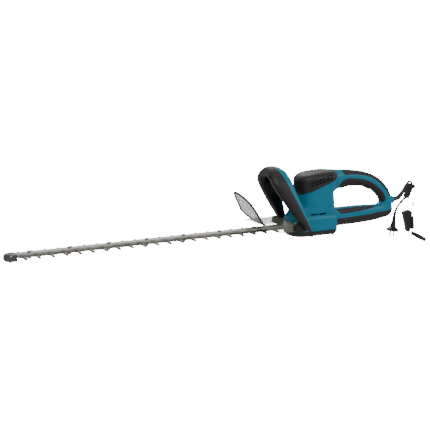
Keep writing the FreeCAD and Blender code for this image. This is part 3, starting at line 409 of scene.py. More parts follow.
def closed_shell(outer: Array, inner: Array, wrap_cols: bool = False) -> Shape:
    """Wall between two grids of points, with its rims closed.

    Args:
        outer: grid of shape rows, columns, 3.
        inner: grid of the same shape.
        wrap_cols: whether each row closes on itself.

    Returns:
        Points and faces of one closed surface.
    """
    rows, cols = outer.shape[:2]
    size = rows * cols
    sheet = quads(rows, cols, wrap_cols=wrap_cols)
    faces = [sheet, sheet[:, ::-1] + size]
    first, last = np.arange(cols), np.arange(cols) + (rows - 1) * cols
    rims = [(last, True), (first, False)]
    if not wrap_cols:
        rims += [(np.arange(rows) * cols, True), (np.arange(rows) * cols + cols - 1, False)]
    for rim, turned in rims:
        loop = np.append(rim, rim[0]) if wrap_cols else rim
        strip = np.stack([loop[:-1], loop[1:], loop[1:] + size, loop[:-1] + size], -1)
        faces.append(strip[:, ::-1] if turned else strip)
    points = np.concatenate([outer.reshape(-1, 3), inner.reshape(-1, 3)])
    return points, outward(points, np.concatenate(faces))


def unit(rows: Array) -> Array:
    """Each row divided by its own length."""
    return rows / np.linalg.norm(rows, axis=-1, keepdims=True)


def powered(wave: Array, roundness: float) -> Array:
    """Cosine or sine of a superellipse: the wave raised to two over the roundness, with its sign kept."""
    return np.sign(wave) * np.abs(wave) ** (2 / roundness)


def tube_along(path: Array, radii: Array, sides: int = 24) -> Shape:
    """Closed round bar: circles of varying radius across a path of constant Y, with flat ends.

    Args:
        path: points of the path, in metres.
        radii: radius at each point.
        sides: points round each circle.

    Returns:
        Points and faces.
    """
    step = unit(np.gradient(path, axis=0))
    across = unit(np.cross(step, (0.0, 1.0, 0.0)))
    third = np.cross(step, across)
    angle = np.linspace(0, ROUND, sides, endpoint=False)[None, :, None]
    circle = np.cos(angle) * across[:, None] + np.sin(angle) * third[:, None]
    ring = path[:, None] + radii[:, None, None] * circle
    grid = np.concatenate([np.repeat(path[:1, None], sides, 1), ring, np.repeat(path[-1:, None], sides, 1)])
    points = grid.reshape(-1, 3)
    return points, outward(points, quads(len(grid), sides, wrap_cols=True))


def prism(outline: Sequence[Sequence[float]], y0: float, y1: float) -> Shape:
    """Straight bar from an outline in X and Z, in millimetres, between two values of Y.

    Args:
        outline: corners of the outline.
        y0: one end.
        y1: other end.

    Returns:
        Points in metres, and faces.
    """
    n = len(outline)
    area = sum(a[0] * b[1] - b[0] * a[1] for a, b in zip(outline, [*outline[1:], outline[0]]))
    ring = list(outline) if area > 0 else list(reversed(outline))
    points = [(x * MM, y * MM, z * MM) for y in sorted((y0, y1)) for x, z in ring]
    sides = [(i, (i + 1) % n, (i + 1) % n + n, i + n) for i in range(n)]
    return points, [tuple(range(n))] + [tuple(reversed(range(n, 2 * n)))] + [f[::-1] for f in sides]


def join_shapes(shapes: Iterable[Shape]) -> Shape:
    """Puts several shapes into one list of points and one list of faces.

    Args:
        shapes: points and faces of each shape.

    Returns:
        Points and faces of all of them.
    """
    points: list = []
    faces: list = []
    for some_points, some_faces in shapes:
        start = len(points)
        points += [tuple(map(float, p)) for p in some_points]
        faces += [tuple(int(i) + start for i in face) for face in some_faces]
    return points, faces


def make_piece(name: str, shape: Shape, slot: str, paint: Paintbox, body: Body = Body.ROOT,
               stands_for: Sequence[str] = (), crease: float = CREASE) -> bpy.types.Object:
    """Makes a finished piece from points and faces.

    Args:
        name: name of the piece.
        shape: points in metres, and faces.
        slot: name of its finish.
        paint: the materials.
        body: body that it rides on.
        stands_for: CAD nodes that it replaces.
        crease: angle in degrees above which an edge is sharp.

    Returns:
        The new object.
    """
    points, faces = join_shapes([shape])
    mesh = bpy.data.meshes.new(name)
    mesh.from_pydata(points, [], faces)
    work = bmesh.new()
    work.from_mesh(mesh)
    bmesh.ops.remove_doubles(work, verts=work.verts, dist=1e-6)
    bmesh.ops.dissolve_degenerate(work, edges=work.edges, dist=1e-7)
    work.to_mesh(mesh)
    work.free()
    mesh.shade_smooth()
    mesh.set_sharp_from_angle(angle=math.radians(crease))
    piece = bpy.data.objects.new(name, mesh)
    bpy.context.scene.collection.objects.link(piece)
    paint.dress(piece, slot)
    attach(piece, body.value)
    if stands_for:
        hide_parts(*stands_for)
    LOG.info("%s: %d faces", name, len(mesh.polygons))
    return piece


def carve(piece: bpy.types.Object, cutters: Iterable[Shape], crease: float = CREASE) -> None:
    """Cuts shapes out of a piece and keeps the result as its mesh.

    Args:
        piece: the piece.
        cutters: closed shapes that don't touch each other.
        crease: angle in degrees above which an edge is sharp.
    """
    points, faces = join_shapes(cutters)
    mesh = bpy.data.meshes.new("cutter")
    mesh.from_pydata(points, [], faces)
    tool = bpy.data.objects.new("cutter", mesh)
    bpy.context.scene.collection.objects.link(tool)
    cut = piece.modifiers.new("cut", "BOOLEAN")
    cut.object, cut.operation, cut.solver = tool, "DIFFERENCE", "EXACT"
    graph = bpy.context.evaluated_depsgraph_get()
    result = bpy.data.meshes.new_from_object(piece.evaluated_get(graph))
    piece.modifiers.clear()
    old, piece.data = piece.data, result
    result.name = old.name + "_cut"
    bpy.data.objects.remove(tool)
    bpy.data.meshes.remove(mesh)
    bpy.data.meshes.remove(old)
    result.set_sharp_from_angle(angle=math.radians(crease))


def smooth_step(value: Array, low: float, high: float) -> Array:
    """Rises from 0 at low to 1 at high along a soft S: the share k gives k squared times 3 - 2k."""
    k = np.clip((value - low) / (high - low), 0, 1)
    return k * k * (3 - 2 * k)


# ------------------------------------------------------------------ motor casing
@dataclass
class MotorCasing:
    """Teal casing round the motor and gears, and the dark cover over its top."""

    base_z: float = -122.0
    top_z: float = 37.6
    top_round: float = 18.0
    tray_z: float = -138.7
    tray_round: float = 16.0
    wall: float = 2.5
    gap: float = 0.3
    half_width: float = 46.0
    round_points: int = 240
    vent_columns: int = 6
    vent_step: float = 11.8
    vent_first: Pair = (-172.0, 0.5)
    vent_rise: float = 0.26
    vent_row_step: float = 7.8
    nose_vents: tuple[float, ...] = (-24.0, -8.0, 8.0)
    nose_vent_width: float = 13.0
    nose_vent_height: float = 4.2
    cover_line: Line = (
        (-240.0, -22.0), (-190.0, -20.0), (-150.0, -6.0), (-112.0, 8.0), (-97.0, 15.0), (-84.0, 27.0),
        (-73.0, 37.4))

    def outline(self, turn: Array, z: Array, shrink: Array | float) -> Array:
        """Plan outline at a height: flat rear end, round rear corners, straight sides, blunt round nose.

        The nose is half a superellipse. Below the step the outline swells and the nose runs further forward.
        Of each half, 12 % of the points lie on the rear end, 16 % on the corner, 24 % on the side and the rest
        on the nose, and the top sinks towards the nose by a parabola.

        Args:
            turn: place round the outline, from 0 at the middle of the rear end to 1.
            z: height in millimetres, of a shape that fits turn.
            shrink: distance inwards from the outer surface.

        Returns:
            Points in metres.
        """
        turn, z, shrink = np.broadcast_arrays(turn, z, np.asarray(shrink, float))
        upper = smooth_step(z, -89.5, -81.5)
        half = self.half_width - 3.0 * upper - 2.0 * smooth_step(z, -80, 20) - shrink
        slope = smooth_step(z, -96, -46)
        nose = -178.0 + 27.0 * slope
        reach = self.half_width - 2.0 * slope - shrink
        rear = -81.0 - 7.5 * smooth_step(z, -78, -58) + 15.0 * smooth_step(z, -22, 14) - shrink
        corner = np.maximum(14.0 + 15.0 * smooth_step(z, -70, 25) - shrink, 1.5)
        corner = np.minimum(corner, half - 0.01)
        side = np.where(turn > 0.5, -1.0, 1.0)
        k = np.minimum(turn, 1 - turn) * 2
        straight = np.clip(k / 0.12, 0, 1)
        bend = np.clip((k - 0.12) / 0.16, 0, 1) * np.pi / 2
        flank = np.clip((k - 0.28) / 0.24, 0, 1)
        front = np.clip((k - 0.52) / 0.48, 0, 1) * np.pi / 2
        x = rear - corner + corner * np.cos(bend)
        y = (half - corner) * straight + corner * np.sin(bend)
        x = x + (nose - (rear - corner)) * flank
        power = 2 / 2.35
        x = x - reach * np.sin(front) ** power
        y = np.where(front > 0, half * np.abs(np.cos(front)) ** power, y)
        y = np.where(k > 0.9999, 0.0, y)
        sink = 9.0 * np.clip((-112 - x) / 82, 0, 1) ** 2 * smooth_step(z, 0, 40)
        return np.stack([x, side * y, z - sink], -1) * MM

    def around(self) -> Array:
        """Places round the outline, as one row."""
        return np.linspace(0, 1, self.round_points, endpoint=False)[None, :]

    def inset(self, z: Array, top: float, radius: float) -> Array:
        """How far the rounded top edge draws the outline in at a height: a quarter circle.

        Args:
            z: height in millimetres.
            top: height of the flat top.
            radius: radius of the edge.

        Returns:
            Distance inwards.
        """
        rise = np.clip(z - (top - radius), 0, radius)
        return radius - np.sqrt(radius**2 - rise**2)

    def edge_height(self, turn: Array) -> Array:
        """Height of the line between the casing and its cover: straight stretches between listed X and Z.

        Args:
            turn: place round the outline.

        Returns:
            Height in millimetres.
        """
        x = self.outline(turn, np.zeros_like(turn), 0.0)[..., 0] / MM
        line = np.array(self.cover_line)
        return np.interp(x, line[:, 0], line[:, 1])

    def wall_grid(self, depth: float) -> Array:
        """Side of the casing: outlines at heights from the seam to the cover line.

        Args:
            depth: distance under the outer surface.

        Returns:
            Grid of points in metres, one row per level.
        """
        turn = self.around()
        over_step = -76.0
        low = np.concatenate([np.linspace(self.base_z, -92, 8), np.linspace(-90, -80, 14), [over_step]])
        low = low[:, None]
        high = self.edge_height(turn) - self.gap
        rise = np.linspace(0, 1, 44)[1:, None]
        z = np.concatenate([np.broadcast_to(low, (len(low), turn.size)),
                            over_step + (high - over_step) * (1 - (1 - rise) ** 2)])
        shrink = self.inset(z, self.top_z, self.top_round)
        return self.outline(turn, z, shrink + depth)

    def cover_grid(self, depth: float) -> Array:
        """Dome of the cover: up from the line, over the round edge and across a top crowned by a parabola.

        Args:
            depth: distance under the outer surface, negative over it.

        Returns:
            Grid of points in metres, one row per level.
        """
        turn = self.around()
        top, radius = self.top_z - depth, self.top_round - depth
        side_rows, top_rows, crown, middle = 40, 15, 0.5, 40.9
        rise = np.linspace(0, 1, side_rows)[:, None]
        start = np.minimum(self.edge_height(turn) + self.gap, top)
        z = start + (top - start) * (1 - (1 - rise) ** 2)
        shrink = self.inset(z, top, radius) + depth
        across = np.linspace(0, 1, top_rows + 1)[1:, None]
        flat = np.broadcast_to(top + crown * (1 - (1 - across) ** 2), (top_rows, turn.size))
        spread = depth + radius + (middle - radius - depth) * across
        grid = self.outline(turn, np.concatenate([z, np.full(flat.shape, top)]),
                            np.concatenate([shrink, np.broadcast_to(spread, flat.shape)]))
        grid[side_rows:, :, 2] += (flat - top) * MM
        return grid

    def vents(self) -> list[Shape]:
        """Slanted slots through both sides of the cover and upright ones in its nose.

        Returns:
            Cutters, as points and faces.
        """
        slots = []
        for side in (-1, 1):
            for row in (0, 1):
                for along in self.vent_step * np.arange(self.vent_columns):
                    x = self.vent_first[0] + along
                    z = self.vent_first[1] + self.vent_rise * along + self.vent_row_step * row
                    corners = [(x, z), (x + 9.6, z + 2.3), (x + 11.4, z + 8.2), (x + 1.8, z + 5.9)]
                    slots.append(prism(corners, side * 20, side * 52))
        front, back = -215, -184
        for low in (-12, -5, 2, 9):
            high = low + self.nose_vent_height
            corners = [(front, low), (back, low), (back, high), (front, high)]
            slots += [prism(corners, y, y + self.nose_vent_width) for y in self.nose_vents]
        return slots

    def side_slots(self) -> list[Shape]:
        """Two flat slots low in each side, over the gears."""
        return [prism([(x, -78.4), (x + 23, -77.2), (x + 25, -72.6), (x + 2, -73.8)], side * 30, side * 52)
                for side in (-1, 1) for x in (-172, -145)]

    def tray_grid(self, depth: float) -> Array:
        """Bowl of the tray: down from the casing, round the lower edge and in to the middle of the floor.

        Args:
            depth: distance under the outer surface, negative over it.

        Returns:
            Grid of points in metres, one row per level.
        """
        lowest, radius = self.tray_z + depth, self.tray_round - depth
        floor_rows, middle = 12, 45.5
        bend = np.linspace(0, np.pi / 2, 16)[:, None]
        under_seam = [[self.base_z - 0.4]]
        inwards = np.linspace(0, 1, floor_rows + 1)[1:, None]
        floor = np.full((floor_rows, 1), lowest)
        z = np.concatenate([under_seam, lowest + radius * (1 - np.sin(bend)), floor])
        shrink = np.concatenate([[[0.0]], radius * (1 - np.cos(bend)),
                                 radius + (middle - depth - radius) * inwards])
        grid = self.outline(self.around(), np.full_like(z, self.base_z), shrink + depth)
        grid[..., 2] = z * MM
        return grid

    def build(self, paint: Paintbox) -> None:
        """Makes the tray, the casing, the cover, and a black sheet behind its slots that paints in the shade seen
        through them.

        Args:
            paint: the materials.
        """
        wall = self.wall
        make_piece("lower_tray", closed_shell(self.tray_grid(-0.3), self.tray_grid(wall), True),
                   "charcoal_plastic", paint, stands_for=("under_cover",))
        casing = make_piece("motor_casing", closed_shell(self.wall_grid(0), self.wall_grid(wall), True),
                            "teal_shell", paint, stands_for=("housing_left", "housing_right"))
        carve(casing, self.side_slots())
        blade_way = prism([(-245, -121.9), (-205, -121.9), (-205, -103), (-245, -103)], -20, 20)
        carve(casing, [blade_way])
        dome = closed_shell(self.cover_grid(-0.5), self.cover_grid(wall), True)
        cover = make_piece("motor_cover_shell", dome, "charcoal_plastic", paint, stands_for=("motor_cover",))
        carve(cover, self.vents())
        # Painted shade: a black sheet just inside the cover, so the slots show dark shade instead of the light beyond
        # them.
        make_piece("vent_shade_sheet", closed_shell(self.cover_grid(wall + 0.5), self.cover_grid(wall + 1.2), True),
                   "black_plastic", paint)


# ------------------------------------------------------------------ rear handle
@dataclass
class RearHandle:
    """D-shaped rear handle: teal core, dark top strip, lining, pads and lower strip, and the cord outlet."""

    outer: Line = (
        (-106, 16), (-92, 37.5), (-64, 36.5), (-38, 33.5), (-12, 30.5), (14, 26), (40, 18), (62, 7.5), (83, -8),
        (100, -28), (110, -48), (116, -72), (118.5, -94), (108, -109), (80, -115.5), (43, -120), (1, -122),
        (-41, -122.8), (-72, -122), (-96, -112), (-106, -80), (-107, -30))
    window: Line = (
        (-87, -38), (-81, -26), (-65, -16), (-38, -10), (-14, -8.5), (8, -10.5), (30, -17), (49, -29),
        (65, -43), (76, -55), (80.5, -63), (80.5, -69), (74, -73.5), (60, -73.8), (38, -72.8), (14, -71.5), (-10, -71),
        (-38, -71.2), (-60, -71), (-74, -67), (-83, -58), (-87.5, -48))
    depth: tuple[float, ...] = (30, 27, 21.5, 18.5, *[18] * 13, 18.5, 21, 24, 27, 30)
    roundness: float = 2.7
    wall: float = 2.6
    proud: float = 0.7
    tuck: float = 0.4
    root: float = 1.6

    def surface(self, t: Array, v: Array, lift: Array | float = 0.0) -> Array:
        """Skin of the handle: a superellipse between the outer and the window line, carried round both.

        Args:
            t: place along the handle, where whole numbers fall on the listed stations.
            v: angle round the section, 0 on the outer line and half a turn on the window line.
            lift: distance outwards from the skin, in millimetres.

        Returns:
            Points in metres.
        """
        t, v, lift = np.broadcast_arrays(t, v, np.asarray(lift, float))
        out, hole = spline(self.outer, t, True), spline(self.window, t, True)
        deep = spline(np.array(self.depth)[:, None], t, True)[..., 0]
        middle, arm = (out + hole) / 2, (out - hole) / 2
        length = np.linalg.norm(arm, axis=-1)
        grown = (length + lift) / length
        flat = middle + arm * (powered(np.cos(v), self.roundness) * grown)[..., None]
        y = (deep + lift) * powered(np.sin(v), self.roundness)
        return np.stack([flat[..., 0], y, flat[..., 1]], -1) * MM

    def angle_of(self, share: Array) -> Array:
        """Angle round the section at which the skin lies at a share: the superellipse turned round.

        Args:
            share: 0 in the middle of the section, 1 at the outer line, -1 at the window line.

        Returns:
            Angle from 0 to half a turn.
        """
        return np.arccos(np.sign(share) * np.abs(share) ** (self.roundness / 2))

    def edge_angle(self, shares: Sequence[float], k: Array) -> Array:
        """Angle of an edge line at places from 0 to 1: a smooth curve through shares at even steps."""
        return self.angle_of(spline(np.array(shares)[:, None], k * (len(shares) - 1))[..., 0])

    def core(self) -> Shape:
        """Hollow ring of the handle: its skin, and the same skin one wall further in.

        Returns:
            Points and faces.
        """
        rows, cols = 220, 56
        t = np.linspace(0, len(self.outer), rows, endpoint=False)[:, None]
        v = np.linspace(0, ROUND, cols, endpoint=False)[None, :]
        shapes = []
        for lift, out in ((0.0, True), (-self.wall, False)):
            points = self.surface(t, v, lift).reshape(-1, 3)
            shapes.append((points, outward(points, quads(rows, cols, True, True), out)))
        return join_shapes(shapes)

    def cushion(self, t: Array, v: Array, drop: Array) -> Shape:
        """Moulded sheet on the skin: proud of it in the middle, and drawn under it where it drops.

        Args:
            t: places along the handle, as a column.
            v: angles round the section.
            drop: how far it has dropped at each point, from 0 in the middle to 1 or more at the edges.

        Returns:
            Points and faces.
        """
        lift = self.proud - (self.proud + self.tuck) * np.minimum(drop, 1)
        return closed_shell(self.surface(t, v, lift), self.surface(t, v, -self.root))

    def strip(self, start: float, end: float, shares: Sequence[float], centre: float = 0.0) -> Shape:
        """Moulded strip that hugs the skin on both sides of a centre line, narrower at its round ends.

        Args:
            start: first place along the handle.
            end: last place along it.
            shares: share of the section at which the strip's edge lies, at even steps from start to end.
            centre: angle of the strip's middle, 0 on the outer line or half a turn on the window line.

        Returns:
            Points and faces.
        """
        k = np.linspace(0, 1, 90)
        angle = self.edge_angle(shares, k)
        half = angle if centre == 0.0 else np.pi - angle
        near_end = np.minimum(k, 1 - k)
        ease = np.sqrt(1 - (1 - near_end / 0.06).clip(0, 1) ** 2)
        half = half * (0.55 + 0.45 * ease)
        a = np.linspace(-1, 1, 36)[None, :]
        edge_drop = np.maximum((np.abs(a) - 0.93) / 0.07, 0) ** 2
        end_drop = np.maximum(1 - near_end / 0.012, 0)[:, None] ** 2
        t = (start + (end - start) * k)[:, None]
        return self.cushion(t, centre + half[:, None] * a, edge_drop + end_drop)

    def side_pad(self, start: float, end: float, upper: Sequence[float], lower: Sequence[float],
                 side: int) -> Shape:
        """Pad on one side of the section, between an upper and a lower share line.

        Args:
            start: first place along the handle.
            end: last place along it.
            upper: shares of the edge nearer the outer line, at even steps.
            lower: shares of the other edge.
            side: -1 for the left side, 1 for the right.

        Returns:
            Points and faces.
        """
        k = np.linspace(0, 1, 60)
        first, last = self.edge_angle(upper, k), self.edge_angle(lower, k)
        a = np.linspace(0, 1, 22)[None, :]
        v = side * (first[:, None] + (last - first)[:, None] * a)
        edge_drop = np.maximum(1 - np.minimum(a, 1 - a) / 0.14, 0) ** 2
        end_drop = np.maximum(1 - np.minimum(k, 1 - k) / 0.03, 0)[:, None] ** 2
        t = (start + (end - start) * k)[:, None]
        return self.cushion(t, v, edge_drop + end_drop)

    def cord_outlet(self) -> Shape:
        """Collar that narrows from the handle to the strain relief: a bar along a line, with listed radii.

        Returns:
            Points and faces.
        """
        along = np.array([0.0, 4, 8, 12, 16, 20, 22.5, 24.5, 26.0, 26.2, 26.3])
        radii = np.array([19.0, 18.2, 16.6, 14.6, 12.8, 11.6, 11.2, 11.1, 10.6, 9.6, 6.4])
        path = np.array([98.0, 0.0, -68.0]) + along[:, None] / along[-1] * np.array([26.0, 0.0, 3.5])
        return tube_along(path * MM, radii * MM, 48)

    def build(self, paint: Paintbox) -> None:
        """Makes the handle and everything moulded on it.

        Args:
            paint: the materials.
        """
        trigger_way = prism([(-68, 3), (-69, -34), (30, -40), (51, -48), (51, -14), (20, 3)], -8, 8)
        core = make_piece("rear_handle_core", self.core(), "teal_shell", paint)
        carve(core, [trigger_way])
        top_strip = self.strip(2.35, 10.2, (0.42, 0.5, 0.5, 0.46, 0.42, 0.36, 0.35, 0.5))
        make_piece("rear_handle_top_strip", top_strip, "grip_rubber", paint, stands_for=("rear_grip_top",))
        inner_strip = self.strip(1.75, 10.6, (-0.35, 0.1, 0.02, -0.06, -0.1, -0.16, -0.2, -0.3, -0.6), np.pi)
        lining = make_piece("rear_handle_lining", inner_strip, "grip_rubber", paint,
                            stands_for=("side_grip_inserts",))
        carve(lining, [trigger_way])
        lower_strip = self.strip(11.6, 19.0, (0.7, 0.1, -0.12, -0.02, 0.02, 0.04, 0.04, 0.1))
        make_piece("rear_handle_lower_strip", lower_strip, "charcoal_plastic", paint,
                   stands_for=("rear_grip_lower",))
        pad_top, pad_bottom = (-0.8, -0.62, -0.5, -0.4, -0.36, -0.4, -0.7), (*[-0.9] * 6, -0.86)
        pads = [self.side_pad(13.3, 18.6, pad_top, pad_bottom, side) for side in (-1, 1)]
        make_piece("lower_bar_pads", join_shapes(pads), "grip_rubber", paint, stands_for=("lower_grip_pads",))
        make_piece("cord_outlet", self.cord_outlet(), "teal_shell", paint)


# ------------------------------------------------------------------ cutting blades
@dataclass
class CuttingBlades:
    """Two toothed blades with ground tooth edges, one over the other."""

    teeth: int = 21
    pitch: float = 35.0
    first_x: float = -970.0
    front_x: float = -984.0
    spine: float = 16.0
    reach: float = 42.0
    thick: float = 2.4
    ground: float = 1.7
    slots: int = 7
    first_slot: float = -952.0
    slot_half: Pair = (12.9, 4.3)
    crank_x: float = -181.5
    yoke_half: Pair = (22.5, 28.9)
    box_points: int = 32

    def outline(self) -> Array:
        """Outline in plan: teeth along both sides, then the yoke behind the neck, anticlockwise.

        Returns:
            X and Y of each corner, in millimetres.
        """
        x = (self.first_x + self.pitch * np.arange(self.teeth))[:, None]
        across = np.array([-7.0, -4.6, -3.6, -2.0, 2.0, 3.6, 4.6, 7.0])[None, :]
        tall = self.reach - self.spine
        rise = np.array([0, 3.0, tall - 1.5, tall, tall, tall - 1.5, 3.0, 0])[None, :]
        side = np.stack(np.broadcast_arrays(x + across, self.spine + rise), -1).reshape(-1, 2)
        yoke = self.rounded_box(*self.yoke_half, 12.0) + (self.crank_x, 0)
        neck = self.crank_x - self.yoke_half[0]
        tip = self.spine - 4
        return np.concatenate([side * (1, -1), [(neck, -self.spine)], np.roll(yoke, -self.box_points // 2, 0),
                               [(neck, self.spine)], side[::-1], [(self.front_x, tip), (self.front_x, -tip)]])

    def rounded_box(self, half_x: float, half_y: float, radius: float) -> Array:
        """Outline of a box with round corners, anticlockwise: a circle whose quarters are moved apart.

        Args:
            half_x: half the length.
            half_y: half the width.
            radius: radius of the corners.

        Returns:
            X and Y of each corner.
        """
        angle = np.linspace(0, ROUND, self.box_points, endpoint=False) + np.pi / self.box_points
        return np.stack([radius * np.cos(angle) + (half_x - radius) * np.sign(np.cos(angle)),
                         radius * np.sin(angle) + (half_y - radius) * np.sign(np.sin(angle))], -1)

    def sheet(self, low: float, ground_up: bool) -> Shape:
        """Blade with its edge ground: one face is the outline drawn inwards along the mean of two normals.

        Args:
            low: height of the lower face.
            ground_up: whether the upper face is the ground one.

        Returns:
            Points in metres, and faces.
        """
        ring = self.outline()
        step = np.roll(ring, -1, 0) - ring
        normal = unit(np.stack([-step[:, 1], step[:, 0]], -1))
        mean = normal + np.roll(normal, 1, 0)
        mean /= np.maximum((mean * normal).sum(1, keepdims=True), 0.6)
        small = ring + mean * self.ground
        faces_z = [low, low + self.thick * (0.45 if ground_up else 0.55), low + self.thick]
        rings = [ring, ring, small] if ground_up else [small, ring, ring]
        n = len(ring)
        points = [(x * MM, y * MM, z * MM) for flat, z in zip(rings, faces_z) for x, y in flat]
        faces = [tuple(reversed(range(n))), tuple(range(2 * n, 3 * n))]
        faces += [(k * n + i, k * n + (i + 1) % n, (k + 1) * n + (i + 1) % n, (k + 1) * n + i)
                  for k in range(2) for i in range(n)]
        return points, faces

    def opening(self, x: float, low: float, half_x: float, half_y: float, radius: float) -> Shape:
        """Cutter through the blade: a round-cornered box whose ends close on their middle points.

        Args:
            x: place on the middle line.
            low: height of the blade's lower face.
            half_x: half the length.
            half_y: half the width.
            radius: radius of the corners.

        Returns:
            Points and faces.
        """
        under, over = low - 1, low + 4
        flat = self.rounded_box(half_x, half_y, radius) + (x, 0)
        grid = np.stack([np.column_stack([flat, np.full(len(flat), z)]) for z in (under, under, over, over)])
        grid[0, :, :2] = grid[-1, :, :2] = (x, 0)
        points = grid.reshape(-1, 3) * MM
        return points, outward(points, quads(4, len(flat), wrap_cols=True))

    def build(self, paint: Paintbox) -> None:
        """Makes both blades.

        Args:
            paint: the materials.
        """
        crease = 20
        for name, low, body, up in (("upper_blade", -112.9, Body.UPPER_BLADE, True),
                                    ("lower_blade", -115.5, Body.LOWER_BLADE, False)):
            blade = make_piece(f"{name}_ground", self.sheet(low, up), "blade_steel", paint, body,
                               (name, f"{name}_teeth"), crease)
            places = [self.first_slot + 3 * self.pitch * i for i in range(self.slots)]
            holes = [self.opening(x, low, *self.slot_half, self.slot_half[1]) for x in places]
            carve(blade, [*holes, self.opening(self.crank_x, low, 17.5, 23.9, 8.0)], crease)


# ------------------------------------------------------------------ front handle
@dataclass
class FrontHandle:
    """Loop handle: dark front shell, teal rear shell, and black strips inside the legs that paint in the shade on
    their inner faces.
    """

    outer: Line = (
        (0, 60.5), (16, 59), (31, 52.5), (45, 41), (57, 26), (64.5, 6), (69.5, -14), (74.5, -36), (79.5, -60),
        (86, -85), (91, -104), (92.4, -109.5))
    inner: Line = (
        (0, 31), (9.5, 30), (18, 25), (26, 15), (31, 4), (34.5, -8), (38, -22), (42.5, -41), (47.5, -62),
        (55, -87), (61, -104), (63.5, -110.5))
    front_line: Line = (
        (-200, -112.5), (-218, -89), (-237, -65), (-256, -38), (-276, -7.5), (-290, 18), (-293, 38), (-290, 50),
        (-285, 62))
    rear_line: Line = (
        (-189, -112.5), (-192, -90), (-200, -67), (-209, -42), (-222, -10), (-231, 16), (-235, 34), (-240, 48),
        (-250, 61))
    part_line: Line = (
        (-193, -112.5), (-201, -88), (-213, -63), (-227, -34), (-243, -2), (-252, 21), (-259, 38), (-265, 52),
        (-269, 62))
    roundness: float = 3.0
    wall: float = 2.6
    inner_gap: float = 0.42
    lining_overlap: float = 0.12

    def line_x(self, line: Sequence[Sequence[float]], z: Array) -> Array:
        """X of a line of the side view at a height."""
        table = np.array(line, float)
        return np.interp(z, table[:, 1], table[:, 0])

    def arch(self, half: Sequence[Pair], t: Array) -> Array:
        """Y and Z of a smooth arch, as if on the right side.

        Args:
            half: its points from the top down. The second one is mirrored in front, so that the top is level.
            t: place along the arch, 0 at the top.

        Returns:
            One row per place.
        """
        return spline([(-half[1][0], half[1][1]), *half], np.abs(t) + 1.0)

    def surface(self, t: Array, v: Array, lift: Array | float = 0.0) -> Array:
        """Skin of the loop: a superellipse between the outer and the inner arch, leaning as the side lines do.

        Args:
            t: place along the arch, from -11 at the left foot, 0 at the top, to 11 at the right foot.
            v: angle round the section, 0 on the outer arch, a quarter turn at the front, half a turn inside.
            lift: distance outwards, in millimetres.

        Returns:
            Points in metres.
        """
        t, v, lift = np.broadcast_arrays(t, v, np.asarray(lift, float))
        side = np.where(t < 0, -1.0, 1.0)
        out, hole = self.arch(self.outer, t), self.arch(self.inner, t)
        middle, arm = (out + hole) / 2, (out - hole) / 2
        length = np.linalg.norm(arm, axis=-1)
        flat = middle + arm * (powered(np.cos(v), self.roundness) * (length + lift) / length)[..., None]
        z = flat[..., 1]
        front, rear = self.line_x(self.front_line, z), self.line_x(self.rear_line, z)
        x = (front + rear) / 2 - ((rear - front) / 2 + lift) * powered(np.sin(v), self.roundness)
        return np.stack([x, side * flat[..., 0], z], -1) * MM

    def part_angle(self, t: Array) -> Array:
        """Angle on the outer side at which the front and the rear shell meet: the superellipse turned round.

        Args:
            t: places along the arch.

        Returns:
            Angles round the section.
        """
        z = self.arch(self.outer, t)[..., 1]
        lines = (self.front_line, self.rear_line, self.part_line)
        front, rear, part = (self.line_x(line, z) for line in lines)
        share = np.clip(((front + rear) / 2 - part) / ((rear - front) / 2), -0.95, 0.95)
        return np.arcsin(np.sign(share) * np.abs(share) ** (self.roundness / 2))

    def ribbon(self, low: Array, high: Array, t: Array, depth: float, cols: int = 46,
               lift: float = 0.0) -> Shape:
        """Shell between two angles of the skin, with edges drawn in by a parabola.

        Args:
            low: first angle at each place.
            high: last angle at each place.
            t: places along the arch.
            depth: thickness of the wall.
            cols: points across.
            lift: height over the skin.

        Returns:
            Points and faces.
        """
        a = np.linspace(0, 1, cols)[None, :]
        v = low[:, None] + (high - low)[:, None] * a
        edge = np.maximum(1 - np.minimum(a, 1 - a) / 0.02, 0) ** 2
        return closed_shell(self.surface(t[:, None], v, lift - 0.5 * edge),
                            self.surface(t[:, None], v, lift - depth))

    def build(self, paint: Paintbox) -> None:
        """Makes the two shells, and the black strips inside the legs that paint in the shade there.

        Args:
            paint: the materials.
        """
        foot = len(self.outer) - 1
        t = np.linspace(-foot, foot, 181)
        part = self.part_angle(t)
        hair_gap = 0.004
        front = self.ribbon(part, np.full_like(t, np.pi - self.inner_gap), t, self.wall)
        rear = self.ribbon(np.full_like(t, np.pi + self.inner_gap), part + ROUND - hair_gap, t, self.wall,
                           lift=-0.25)
        shell = make_piece("front_handle_shell", front, "charcoal_plastic", paint,
                           stands_for=("front_handle_front_shell",))
        carve(shell, self.screw_wells())
        make_piece("front_handle_back", rear, "teal_shell", paint, stands_for=("front_handle_rear_shell",))
        # Painted shade: black strips over the inner faces of the legs, which lie in shadow; they also fill the gap
        # left between the two shells.
        reach = self.inner_gap + self.lining_overlap
        for name, ends in (("left", (-10.6, -3.6)), ("right", (3.6, 10.6))):
            leg = np.linspace(*ends, 60)
            lining = self.ribbon(np.full_like(leg, np.pi - reach), np.full_like(leg, np.pi + reach), leg,
                                 depth=3.0, cols=20, lift=0.6)
            make_piece(f"loop_lining_{name}", lining, "black_plastic", paint)

    def screw_wells(self) -> list[Shape]:
        """Round wells in the front face for the screws.

        Returns:
            Cutters, as points and faces.
        """
        wells = []
        radius = 4.2 * MM
        for y, z, ends in ((33.0, 38.0, (-300.0, -276.0)), (66.0, -62.0, (-246.0, -226.0))):
            for side in (1, -1):
                path = np.array([(x, side * y, z) for x in np.linspace(*ends, 3)]) * MM
                wells.append(tube_along(path, np.full(len(path), radius)))
        return wells


